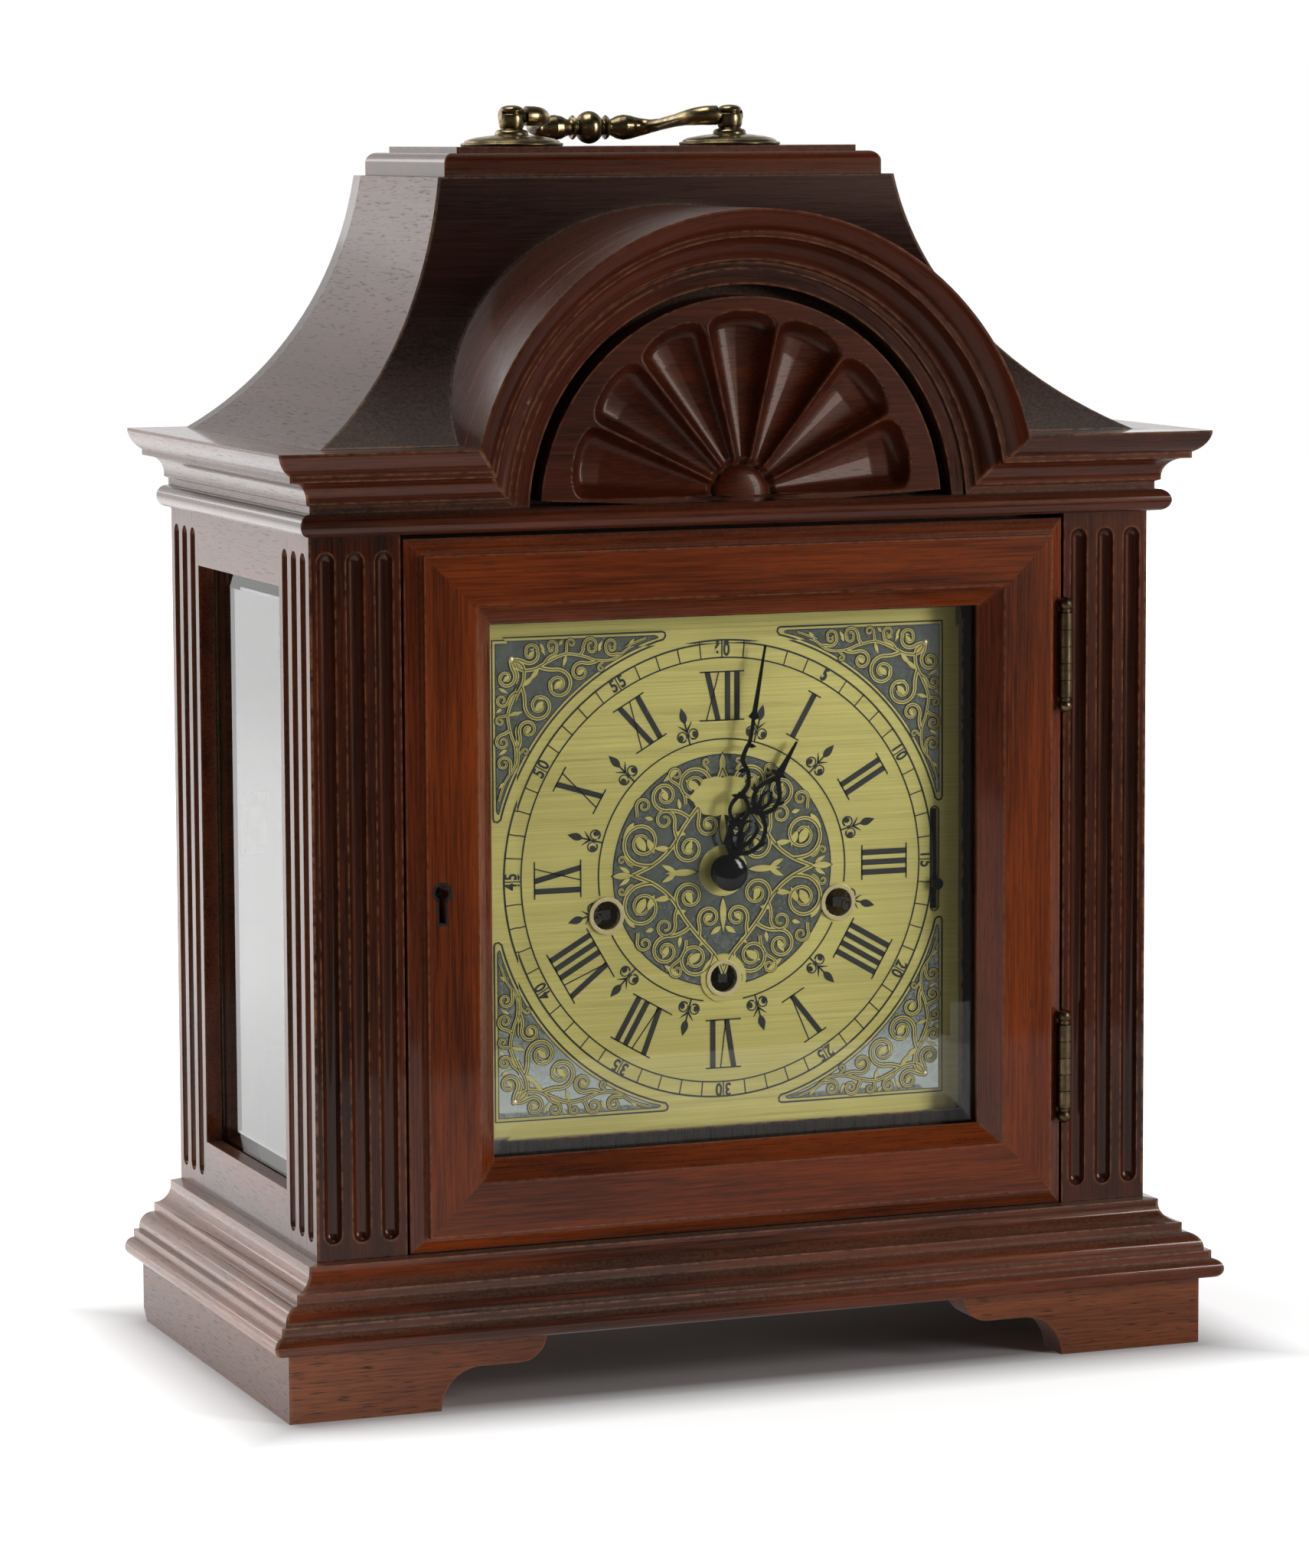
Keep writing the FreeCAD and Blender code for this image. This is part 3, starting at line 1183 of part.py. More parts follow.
def centre_train():
    """Centre arbor with its pinion, wheel and cannon, and the third and escape arbors."""
    centre = (0.0, size.dial_z)
    third = (size.third_x, size.third_z)
    escape = (0.0, size.escape_z)
    barrel = (0.0, size.low_winder_z)
    minute = (size.minute_x, size.minute_z)

    pinion = toothed("centre_pinion_teeth", "great_module", "pinion_long", ("0", "rear_y - 7.7", "dial_z"),
                     phase=facing(size.centre_pinion_teeth, *centre, *barrel, True))
    wheel = toothed("centre_teeth", "train_module", "wheel_thick", ("0", "inner_y + 24", "dial_z"),
                    phase=facing(size.centre_teeth, *centre, *third, True))
    cannon = toothed("cannon_teeth", "motion_module", "2.5", ("0", "front_y - 4", "dial_z"),
                     phase=facing(size.cannon_teeth, *centre, *minute, True))
    arbor = rod("1.2", "out_y - dial_y + 6.9", ("0", "dial_y - 7.4", "dial_z"), "y")
    pipe = rod("2.2", "front_y - dial_y + 3.9", ("0", "dial_y - 5.4", "dial_z"), "y")
    subpart("centre_arbor", fuse(arbor, pipe, pinion, wheel, cannon))

    pinion = toothed("train_pinion_teeth", "train_module", "pinion_long + 1",
                     ("third_x", "inner_y + 22.3", "third_z"),
                     phase=facing(size.train_pinion_teeth, *third, *centre, False))
    wheel = toothed("third_teeth", "train_module", "wheel_thick", ("third_x", "inner_y + 14", "third_z"),
                    phase=facing(size.third_teeth, *third, *escape, True))
    arbor = rod("0.9", "plate_gap + 2 * plate_thick - 1", ("third_x", "front_y + 0.5", "third_z"), "y")
    subpart("third_wheel", fuse(arbor, pinion, wheel))

    pinion = toothed("train_pinion_teeth", "train_module", "pinion_long + 1",
                     ("0", "inner_y + 12.3", "escape_z"),
                     phase=facing(size.train_pinion_teeth, *escape, *third, False))
    wheel = toothed("escape_teeth", "escape_module", "wheel_thick * 0.7", ("0", "inner_y + 6", "escape_z"))
    arbor = rod("0.9", "plate_gap + 2 * plate_thick - 1", ("0", "front_y + 0.5", "escape_z"), "y")
    subpart("escape_wheel", fuse(arbor, pinion, wheel))

    wheel = toothed("great_teeth", "great_module", "wheel_thick", ("0", "rear_y - 6.5", "low_winder_z"),
                    hole="arbor_radius + bearing",
                    phase=facing(size.great_teeth, *barrel, *centre, False))
    drum = drum_at("0", "low_winder_z", "plate_gap - 9.5")
    subpart("going_barrel", fuse(drum, wheel))


def drum_at(x, z, length):
    """A closed mainspring barrel, bored for its arbor."""
    drum = rod("barrel_radius", length, (x, "inner_y + 3", z), "y")
    return cut(drum, rod("arbor_radius + bearing", "80", (x, "inner_y - 10", z), "y"))


def motion_work():
    """Minute wheel on its post and hour wheel on its pipe, which turn the hour hand."""
    centre = (0.0, size.dial_z)
    minute = (size.minute_x, size.minute_z)
    wheel = toothed("minute_teeth", "motion_module", "1.2", ("minute_x", "front_y - 3.4", "minute_z"),
                    phase=facing(size.minute_teeth, *minute, *centre, False))
    pinion = toothed("minute_pinion_teeth", "hour_module", "5.1", ("minute_x", "front_y - 8.5", "minute_z"),
                     phase=facing(size.minute_pinion_teeth, *minute, *centre, True))
    bore = rod("1 + bearing", "20", ("minute_x", "front_y - 12", "minute_z"), "y")
    subpart("minute_wheel", cut(fuse(wheel, pinion), bore))
    wheel = toothed("hour_teeth", "hour_module", "1.2", ("0", "front_y - 8", "dial_z"),
                    phase=facing(size.hour_teeth, *centre, *minute, False))
    pipe = rod("3.2", "front_y - dial_y - 2.6", ("0", "dial_y - 4.2", "dial_z"), "y")
    bore = rod("2.2 + bearing", "60", ("0", "dial_y - 10", "dial_z"), "y")
    subpart("hour_wheel", cut(fuse(wheel, pipe), bore))


# ---- movement frame ----

def arbor_places():
    """Each bore through both plates: its radius and its place."""
    places = [("arbor_radius", x, z) for x, z in winders()]
    places.append(("0.9", "third_x", "third_z"))
    places.append(("0.9", "0", "escape_z"))
    places.append(("1.2", "0", "anchor_z"))
    places.append(("1.2", "0", "dial_z"))
    return places


def movement_frame():
    """Two brass plates on four pillars, standing on a shelf across the case."""
    low = ("-plate_half", "front_y", "seat_z")
    front = box(low, ("plate_half", "inner_y", "seat_z + plate_tall"))
    bores = [rod(r + " + bearing", "80", (x, "front_y - 5", z), "y") for r, x, z in arbor_places()]
    post = rod("1", "9.5", ("minute_x", "front_y - 9", "minute_z"), "y")
    subpart("front_plate", fuse(cut(front, *bores), post))

    rear = box(("-plate_half", "rear_y", "seat_z"), ("plate_half", "out_y", "seat_z + plate_tall"))
    ears = [box((x + " - 1.5", "out_y - 0.5", "hammer_z - 4"), (x + " + 1.5", "hammer_y + 4", "hammer_z + 4"))
            for x in ("-50", "50")]
    cock = box(("-5", "out_y - 0.5", "anchor_z + 2.5"), ("5", "out_y + 12", "anchor_z + 8"))
    lug = box(("-4", "out_y + 9.5", "anchor_z - 3.5"), ("4", "out_y + 12", "anchor_z + 4"))
    bores = [rod(r + " + bearing", "80", (x, "front_y + 5", z), "y") for r, x, z in arbor_places()]
    bores.append(rod("rod_radius + bearing", "120", ("-60", "hammer_y", "hammer_z"), "x"))
    pillars = [rod("3", "plate_gap", (x, "inner_y", z), "y")
               for x in ("7 - plate_half", "plate_half - 7") for z in ("seat_z + 7", "seat_z + plate_tall - 7")]
    subpart("back_plate", fuse(cut(fuse(rear, *ears, cock, lug), *bores), *pillars))
    shelf = box(("-seat_half", "front_y - 2", "seat_z - seat_thick"), ("seat_half", "out_y + 2", "seat_z"))
    cheeks = [box((x, "front_y - 2", "base_top"), (x + " + seat_thick", "out_y + 2", "seat_z - seat_thick"))
              for x in ("-seat_half", "seat_half - seat_thick")]
    subpart("seat_board", fuse(shelf, *cheeks))


def winding_arbors():
    for (x, z), name in zip(winders(), ("strike", "chime", "going")):
        arbor = rod("arbor_radius", "out_y - front_y + 0.5", (x, "front_y - 0.8", z), "y")
        square = box((x + " - 1.6", "dial_y + 0.3", z + " - 1.6"),
                     (x + " + 1.6", "front_y - 0.3", z + " + 1.6"))
        round_off = rod("2.05", "30", (x, "dial_y", z), "y")
        end = doc.addObject("Part::Common", "square_end")
        end.Base = square
        end.Tool = round_off
        subpart("winding_arbor_" + name, fuse(arbor, end))
    drums = [drum_at(x, z, "barrel_length") for x, z in winders()[:2]]
    subpart("strike_and_chime_barrels", group(*drums))


def escapement():
    """Anchor with its crutch, and the pendulum that the crutch's fork embraces."""
    arbor = rod("1.2", "out_y - front_y + 3.5", ("0", "front_y + 0.5", "anchor_z"), "y")
    bar = box(("-8.4", "inner_y + 4.5", "anchor_z - 1.6"), ("8.4", "inner_y + 8.7", "anchor_z + 1.6"))
    pallets = [box((x + " - 0.9", "inner_y + 4.5", "anchor_z - 6.2"),
                   (x + " + 0.9", "inner_y + 8.7", "anchor_z"))
               for x in ("-7.5", "7.5")]
    crutch = box(("-1.2", "out_y + 2", "anchor_z - 34"), ("1.2", "out_y + 3.6", "anchor_z + 1.5"))
    prongs = [box((low, "out_y + 2", "anchor_z - 34"), (high, "out_y + 11", "anchor_z - 31"))
              for low, high in (("-2.6", "-1.1 - fit"), ("1.1 + fit", "2.6"))]
    bridge = box(("-2.6", "out_y + 2", "anchor_z - 34"), ("2.6", "out_y + 3.6", "anchor_z - 31"))
    subpart("anchor", fuse(arbor, bar, *pallets, crutch, bridge, *prongs))

    pin = rod("1.2", "5", ("0", "out_y + 7.3", "anchor_z"), "y")
    spring = box(("-2", "out_y + 7.8", "anchor_z - 9"), ("2", "out_y + 8.2", "anchor_z + 1"))
    stem = rod("1.1", "pendulum_length - 8", ("0", "out_y + 8", "anchor_z - pendulum_length"))
    bob = rod("bob_radius", "7", ("0", "out_y + 4.5", "anchor_z - pendulum_length"), "y")
    nut = rod("2.5", "3", ("0", "out_y + 8", "anchor_z - pendulum_length - bob_radius - 2.5"))
    subpart("pendulum", fuse(pin, spring, stem, bob, nut))


def chimes():
    """Four rods screwed into an iron block, and four hammers on one arbor above them."""
    places = ["hammer_y + %d" % reach for reach in (12, 18, 24, 30)]
    rods_x = "-100"
    block_piece = box((rods_x + " - 18", "hammer_y + 5", "base_top"), (rods_x, "hammer_y + 37", "rod_z + 6"))
    rods = [rod("rod_radius", "rod_length", (rods_x, y, "rod_z"), "x") for y in places]
    subpart("chime_rods", group(block_piece, *rods))
    arbor = rod("rod_radius", "112", ("-56", "hammer_y", "hammer_z"), "x")
    pieces = [arbor]
    for x, y in zip(("-30", "-10", "10", "30"), places):
        pieces.append(box((x + " - 1.5", "hammer_y", "hammer_z - 1.3"), (x + " + 1.5", y, "hammer_z + 1.3")))
        pieces.append(rod("3", "hammer_z - rod_z - rod_radius - 0.5", (x, y, "rod_z + rod_radius + 2")))
    subpart("hammers", fuse(*pieces))


# ---- build, check and write ----

def check():
    doc.recompute()
    for piece in doc.Objects:
        if "Invalid" in piece.State or "Error" in piece.State:
            raise RuntimeError("%s (%s) failed: %s" % (piece.Name, piece.Label, piece.State))
    for piece in subparts:
        if piece.Shape.isNull() or not piece.Shape.isValid() or not piece.Shape.Solids:
            raise RuntimeError("%s has no valid shape" % piece.Label)


def write():
    os.makedirs("parts", exist_ok=True)
    for piece in subparts:
        piece.Shape.exportStep(os.path.join("parts", piece.Label + ".step"))
    print("wrote %d sub-parts" % len(subparts))


def main():
    fill_sheets()
    plinth()
    base()
    side_frames()
    front_frame()
    hood()
    bell()
    handle()
    front_door()
    door_lock()
    back_door(hinges())
    dial()
    hands()
    centre_train()
    motion_work()
    movement_frame()
    winding_arbors()
    escapement()
    chimes()
    check()
    write()


main()
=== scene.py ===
"""Looks of the bracket clock: polished mahogany, printed brass dial, hands, handle and studio."""

import itertools
import math

import bmesh
import bpy
import numpy as np
from mathutils import Matrix, Vector


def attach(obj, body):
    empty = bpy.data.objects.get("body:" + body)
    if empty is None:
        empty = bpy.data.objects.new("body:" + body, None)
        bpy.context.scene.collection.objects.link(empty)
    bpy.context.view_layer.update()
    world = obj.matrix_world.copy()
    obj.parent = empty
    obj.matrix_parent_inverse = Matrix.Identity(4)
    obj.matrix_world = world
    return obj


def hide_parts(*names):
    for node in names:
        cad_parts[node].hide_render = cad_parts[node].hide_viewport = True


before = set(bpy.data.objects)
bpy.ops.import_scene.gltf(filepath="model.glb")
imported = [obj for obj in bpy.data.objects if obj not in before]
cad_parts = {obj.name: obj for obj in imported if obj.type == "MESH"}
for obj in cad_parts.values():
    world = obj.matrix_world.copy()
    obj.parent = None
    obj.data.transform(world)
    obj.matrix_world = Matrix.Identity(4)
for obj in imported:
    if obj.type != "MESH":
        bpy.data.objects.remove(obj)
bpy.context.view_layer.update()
MM = 0.001

# places in the clock, in metres, as the part's source has them
FACE_Y = -0.07065               # front of the stiles
HOOD_Y = FACE_Y - 0.0035        # front of the carved half disc
BOARD_Y = FACE_Y + 0.0130       # the board round the dial begins behind this
BACK_Y = 0.08505
BOARD_HALF = 0.1140             # half the width of that board
SIDE_STILE = 0.032
DOOR_HALF_WIDE = 0.1142
DOOR_HALF_HIGH = 0.1147
DOOR_MIDDLE_Z = 0.16335
DIAL_Y = -0.05365               # face of the dial plate
DIAL_Z = 0.1648
ARCH_FOOT_Z = 0.2836            # centre of the arch
BOARD_TOP = 0.2872              # top of the board that the half disc stands on
PLATE_TOP = 0.4007

# the dial, in millimetres round its centre; PRINT and FRET lie that far before its face
TRACK_OUTSIDE = 75.0
TRACK_INSIDE = 70.1
INNER_CIRCLE = 43.4
NUMERAL_FOOT = 49.3
PANEL_EDGE = 78.5
CENTRE_EDGE = 38.3
HOLE_DOWN = 35.6                # of the lowest winding hole
PRINT = 0.10
FRET = 0.34
CORNERS = [np.array((a, b)) for a in (-1.0, 1.0) for b in (-1.0, 1.0)]


# ---- meshes ----

def mesh_object(name, points, faces, material, body, smooth=True, slot=None, replaces=()):
    """A closed mesh from an array of points and a list of faces, riding on one body."""
    mesh = bpy.data.meshes.new(name)
    corners = np.asarray(points, float).reshape(-1, 3).tolist()
    mesh.from_pydata(corners, [], [tuple(map(int, face)) for face in faces])
    mesh.update()
    work = bmesh.new()
    work.from_mesh(mesh)
    bmesh.ops.remove_doubles(work, verts=work.verts, dist=1e-7)
    bmesh.ops.recalc_face_normals(work, faces=work.faces)
    work.to_mesh(mesh)
    work.free()
    mesh.shade_smooth() if smooth else mesh.shade_flat()
    piece = bpy.data.objects.new(name, mesh)
    bpy.context.scene.collection.objects.link(piece)
    mesh.materials.append(material)
    if smooth:
        mesh.set_sharp_from_angle(angle=math.radians(38))
    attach(piece, body)
    if replaces:
        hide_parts(*replaces)
    return piece


def grid_faces(rows, columns, wrap_rows=False, wrap_columns=False):
    """Four-sided faces over a grid of points stored row by row."""
    row = np.arange(rows if wrap_rows else rows - 1)[:, None]
    column = np.arange(columns if wrap_columns else columns - 1)[None, :]
    next_row = (row + 1) % rows
    next_column = (column + 1) % columns
    quads = np.stack([row * columns + column, row * columns + next_column,
                      next_row * columns + next_column, next_row * columns + column], -1)
    return quads.reshape(-1, 4).tolist()


def turned(profile, origin, axis, steps=72):
    """A lathe: each (height, radius) of the profile swings round an axis through origin."""
    height, radius = np.asarray(profile, float).T
    turn = np.linspace(0, 2 * np.pi, steps, endpoint=False)
    axis = np.asarray(axis, float)
    side = np.cross(axis, (0, 0, 1) if abs(axis[2]) < 0.9 else (1, 0, 0))
    side /= np.linalg.norm(side)
    up = np.cross(axis, side)
    ring = np.cos(turn)[:, None] * side + np.sin(turn)[:, None] * up
    points = np.asarray(origin) + height[:, None, None] * axis + radius[:, None, None] * ring[None]
    return points.reshape(-1, 3), grid_faces(len(height), steps, wrap_columns=True)


def swept(path, radius, steps):
    """A round bar of changing radius along a path; its rings stand square to the path."""
    path = np.asarray(path, float)
    run = np.gradient(path, axis=0)
    run /= np.linalg.norm(run, axis=1)[:, None]
    side = np.cross(run, (0, 0, 1.0))
    side /= np.linalg.norm(side, axis=1)[:, None]
    up = np.cross(run, side)
    turn = np.linspace(0, 2 * np.pi, steps, endpoint=False)
    radius = np.broadcast_to(radius, len(path))
    ring = np.cos(turn)[:, None] * side[:, None] + np.sin(turn)[:, None] * up[:, None]
    points = path[:, None] + radius[:, None, None] * ring
    faces = grid_faces(len(path), steps, wrap_columns=True)
    last = (len(path) - 1) * steps
    faces += [list(range(steps)), list(range(last, last + steps))]
    return points.reshape(-1, 3), faces


def merged(parts):
    """Several (points, faces) put together as one."""
    points, faces, count = [], [], 0
    for some_points, some_faces in parts:
        points.append(np.asarray(some_points).reshape(-1, 3))
        faces += [[i + count for i in f] for f in some_faces]
        count += len(points[-1])
    return np.concatenate(points), faces


# ---- flat work on the dial: arrays of (x, z) in millimetres round the dial centre ----

def on_dial(flat, front):
    """Lift flat points to the dial, front millimetres before its face."""
    flat = np.asarray(flat, float)
    depth = np.full(flat.shape[:-1], DIAL_Y - front * MM)
    return np.stack([flat[..., 0] * MM, depth, DIAL_Z + flat[..., 1] * MM], -1)


def plate_of(outlines, front, thick=0.06):
    """Flat plates of any outline: front and back faces and the wall between them."""
    parts = []
    for outline in outlines:
        count = len(outline)
        points = np.concatenate([on_dial(outline, front), on_dial(outline, front - thick)])
        around = np.arange(count)
        ahead = (around + 1) % count
        walls = np.stack([around, ahead, ahead + count, around + count], -1)
        ends = [around.tolist(), (around[::-1] + count).tolist()]
        parts.append((points, ends + walls.tolist()))
    return merged(parts)


def band(one, other, front, thick=0.06, closed=False):
    """A flat plate between two edges of as many points each."""
    rim = np.stack([one, other], 1)
    points = np.concatenate([on_dial(rim, front), on_dial(rim[:, ::-1], front - thick)], 1)
    count = len(rim)
    faces = grid_faces(count, 4, wrap_rows=closed, wrap_columns=True)
    if not closed:
        last = 4 * (count - 1)
        faces += [[0, 1, 2, 3], [last + 3, last + 2, last + 1, last]]
    return points.reshape(-1, 3), faces


def ribbon(path, width, front, thick=0.06, closed=False):
    """A flat band of changing width along a path: its two edges lie half a width either side."""
    path = np.asarray(path, float)
    if closed:
        run = np.roll(path, -1, 0) - np.roll(path, 1, 0)
    else:
        run = np.gradient(path, axis=0)
    run /= np.linalg.norm(run, axis=1)[:, None] + 1e-9
    across = np.stack([-run[:, 1], run[:, 0]], -1) * np.broadcast_to(width, len(path))[:, None] / 2
    return band(path + across, path - across, front, thick, closed)


def polar(radius, degrees):
    """Points at a radius and an hour angle, measured clockwise from twelve."""
    turn = np.radians(degrees)
    return np.stack([radius * np.sin(turn), radius * np.cos(turn)], -1)


def turned_to(flat, degrees, radius=0.0):
    """Move a flat drawing out to a radius at twelve, then clockwise to an hour angle."""
    flat = np.asarray(flat, float) + (0, radius)
    turn = math.radians(degrees)
    c, s = math.cos(turn), math.sin(turn)
    return np.stack([flat[..., 0] * c + flat[..., 1] * s, -flat[..., 0] * s + flat[..., 1] * c], -1)


# ---- shader helpers ----

class Desk:
    """Places nodes in one tree; a socket given as a value is linked, anything else is set."""

    def __init__(self, tree):
        self.tree = tree

    def add(self, kind, inputs=None, **settings):
        node = self.tree.nodes.new("ShaderNode" + kind)
        for name, value in settings.items():
            setattr(node, name, value)
        for name, value in (inputs or {}).items():
            self.put(node.inputs[name], value)
        return node

    def put(self, socket, value):
        if isinstance(value, bpy.types.NodeSocket):
            self.tree.links.new(value, socket)
        elif value is not None:
            socket.default_value = value

    def math(self, operation, a, b=0.0, clamp=False):
        return self.add("Math", {0: a, 1: b}, operation=operation, use_clamp=clamp).outputs[0]

    def product(self, *values, clamp=False):
        """All the values multiplied, with the clamp on the last product."""
        total = values[0]
        for value in values[1:-1]:
            total = self.math("MULTIPLY", total, value)
        return self.math("MULTIPLY", total, values[-1], clamp)

    def weighted(self, a, share_a, b, share_b, clamp=False):
        """The sum of two values, each times its share."""
        return self.math("ADD", self.product(a, share_a), self.product(b, share_b), clamp)

    def blend(self, factor, a, b):
        """Colour a where factor is 0 and b where it is 1."""
        return self.add("Mix", {0: factor, 6: a, 7: b}, data_type="RGBA").outputs[2]

    def swap(self, factor, a, b):
        """Number a where factor is 0 and b where it is 1."""
        return self.add("Mix", {0: factor, 2: a, 3: b}, data_type="FLOAT").outputs[0]

    def either(self, factor, a, b):
        """Vector a where factor is 0 and b where it is 1."""
        return self.add("Mix", {0: factor, 4: a, 5: b}, data_type="VECTOR").outputs[1]

    def spread(self, value, low, high, to_low=0.0, to_high=1.0):
        """Low to high, stretched over to_low to to_high and clamped there."""
        ends = {0: value, 1: low, 2: high, 3: to_low, 4: to_high}
        return self.add("MapRange", ends, clamp=True).outputs[0]

    def scaled(self, vector, scale):
        return self.add("VectorMath", {0: vector, 1: scale}, operation="MULTIPLY").outputs[0]

    def noise(self, vector, scale=1.0, detail=2.0, distortion=0.0):
        inputs = {"Vector": vector, "Scale": scale, "Detail": detail, "Distortion": distortion}
        return self.add("TexNoise", inputs).outputs[0]

    def parts(self, vector):
        node = self.add("SeparateXYZ", {0: vector})
        return node.outputs[0], node.outputs[1], node.outputs[2]

    def joined(self, x, y, z):
        return self.add("CombineXYZ", {0: x, 1: y, 2: z}).outputs[0]

    def place(self):
        return self.add("TexCoord").outputs["Object"]

    def relief(self, shader, height, strength, distance, soften=None):
        """Bump from a height, on arrises that are rounded by soften metres."""
        normal = self.add("Bevel", {0: soften}, samples=4).outputs[0] if soften else None
        bump = self.add("Bump", {"Strength": strength, "Distance": distance, "Height": height,
                                 "Normal": normal})
        self.put(shader.inputs["Normal"], bump.outputs[0])

    def group(self, tree, inputs):
        node = self.tree.nodes.new("ShaderNodeGroup")
        node.node_tree = tree
        for name, value in inputs.items():
            self.put(node.inputs[name], value)
        return node.outputs


def group_tree(name, inputs, outputs):
    """An empty shader group with its sockets, and a desk to fill it."""
    tree = bpy.data.node_groups.new(name, "ShaderNodeTree")
    for label, kind, value in inputs:
        socket = tree.interface.new_socket(label, in_out="INPUT", socket_type="NodeSocket" + kind)
        if value is not None:
            socket.default_value = value
    for label, kind in outputs:
        tree.interface.new_socket(label, in_out="OUTPUT", socket_type="NodeSocket" + kind)
    given = tree.nodes.new("NodeGroupInput").outputs
    result = tree.nodes.new("NodeGroupOutput").inputs
    return tree, Desk(tree), given, result


def mahogany_grain():
    """Bands, fine fibres and short dark pores along the X of the grain vector."""
    tree, desk, given, result = group_tree(
        "mahogany grain",
        [("Grain", "Vector", None), ("Dark", "Color", None), ("Light", "Color", None),
         ("Pores", "Float", 0.6)],
        [("Color", "Color"), ("Roughness", "Float"), ("Height", "Float")])
    grain = given["Grain"]
    bands = desk.noise(desk.scaled(grain, (4, 60, 60)), 1.0, 3.0, 0.8)
    cloud = desk.noise(desk.scaled(grain, (9, 22, 22)), 1.0, 2.0, 0.3)
    fibres = desk.noise(desk.scaled(grain, (45, 1500, 1500)), 1.0, 3.0)
    pores = desk.noise(desk.scaled(grain, (130, 2300, 2300)), 1.0, 1.0)
    tone = desk.spread(desk.weighted(bands, 0.6, cloud, 0.4), 0.34, 0.66)
    streaks = desk.product(desk.math("SUBTRACT", fibres, 0.5), 1.5)
    tone = desk.math("ADD", tone, streaks, clamp=True)
    pore = desk.product(desk.spread(pores, 0.60, 0.70), given["Pores"])
    color = desk.blend(tone, given["Dark"], given["Light"])
    desk.put(result["Color"], desk.blend(pore, color, PORE_BROWN))
    desk.put(result["Roughness"], desk.weighted(fibres, 0.16, pore, 0.25))
    desk.put(result["Height"], desk.math("SUBTRACT", desk.product(fibres, 0.35), pore))
    return tree


def age():
    """Worn arrises where the surface turns sharply outwards, and dust where it is hollow, where it
    faces up and along the upper rims. Where it faces up, the pale film is dust and also a painted
    sheen of light from above."""
    tree, desk, given, result = group_tree(
        "wear, dust and painted sheen",
        [("Color", "Color", None), ("Wear", "Float", 0.5), ("Worn", "Color", None),
         ("Dust", "Float", 0.3)],
        [("Color", "Color"), ("Dull", "Float")])
    arris, hollow_reach = 1.4 * MM, 6 * MM
    place = desk.place()
    normal = desk.add("NewGeometry").outputs["Normal"]
    rounded = desk.add("Bevel", {0: arris}, samples=6).outputs[0]
    turn = desk.add("VectorMath", {0: normal, 1: rounded}, operation="DOT_PRODUCT").outputs["Value"]
    edge = desk.spread(desk.math("SUBTRACT", 1.0, turn), 0.003, 0.07)
    open_sky = desk.add("AmbientOcclusion", {1: hollow_reach}, samples=6, only_local=False).outputs[1]
    hollow = desk.spread(open_sky, 0.80, 0.40)
    patchy = desk.spread(desk.noise(place, 330.0, 4.0), 0.38, 0.60)
    proud = desk.math("SUBTRACT", 1.0, hollow, True)
    worn = desk.product(edge, proud, patchy, given["Wear"], clamp=True)
    up = desk.parts(normal)[2]
    specks = desk.spread(desk.noise(place, 900.0, 2.0), 0.35, 0.65, 0.3, 1.0)
    dust_and_sheen_specks = desk.product(specks, given["Dust"])
    in_hollows = desk.product(hollow, desk.spread(up, -0.2, 0.8, 0.35, 1.0), dust_and_sheen_specks, clamp=True)
    # dust and painted sheen: faces turned up get a pale film, partly dust and partly standing in for
    # light from above
    dust_and_sheen_on_top = desk.product(desk.spread(up, 0.45, 0.98, 0.0, 0.34), dust_and_sheen_specks, clamp=True)
    on_rims = desk.product(edge, desk.spread(up, -0.15, 0.35), dust_and_sheen_specks, clamp=True)
    # dust here includes the painted sheen on faces turned up
    dust = desk.math("MAXIMUM", dust_and_sheen_on_top, desk.product(on_rims, 0.7))
    dust = desk.math("MAXIMUM", in_hollows, dust)
    color = desk.blend(worn, given["Color"], given["Worn"])
    desk.put(result["Color"], desk.blend(dust, color, DUST_AND_SHEEN_GREY))
    desk.put(result["Dull"], dust)
    return tree


PORE_BROWN = (0.006, 0.003, 0.002, 1)
# pale dust colour, also used for the painted sheen on faces turned up
DUST_AND_SHEEN_GREY = (0.36, 0.31, 0.24, 1)
DARK_RED = (0.024, 0.0042, 0.0012)
LIGHT_RED = (0.125, 0.021, 0.0045)
WORN_RED = (0.34, 0.135, 0.060, 1)
BOARD_BLACK = (0.010, 0.011, 0.011, 1)
GRAIN = mahogany_grain()
AGE = age()


def finish(name, color, metallic=0.0, roughness=0.4, **sockets):
    """A Principled finish to build on: the material, its desk and its shader."""
    material = bpy.data.materials.new(name)
    material.use_nodes = True
    shader = material.node_tree.nodes["Principled BSDF"]
    shader.inputs["Base Color"].default_value = (*color, 1)
    shader.inputs["Metallic"].default_value = metallic
    shader.inputs["Roughness"].default_value = roughness
    for label, value in sockets.items():
        shader.inputs[label.replace("_", " ")].default_value = value
    return material, Desk(material.node_tree), shader
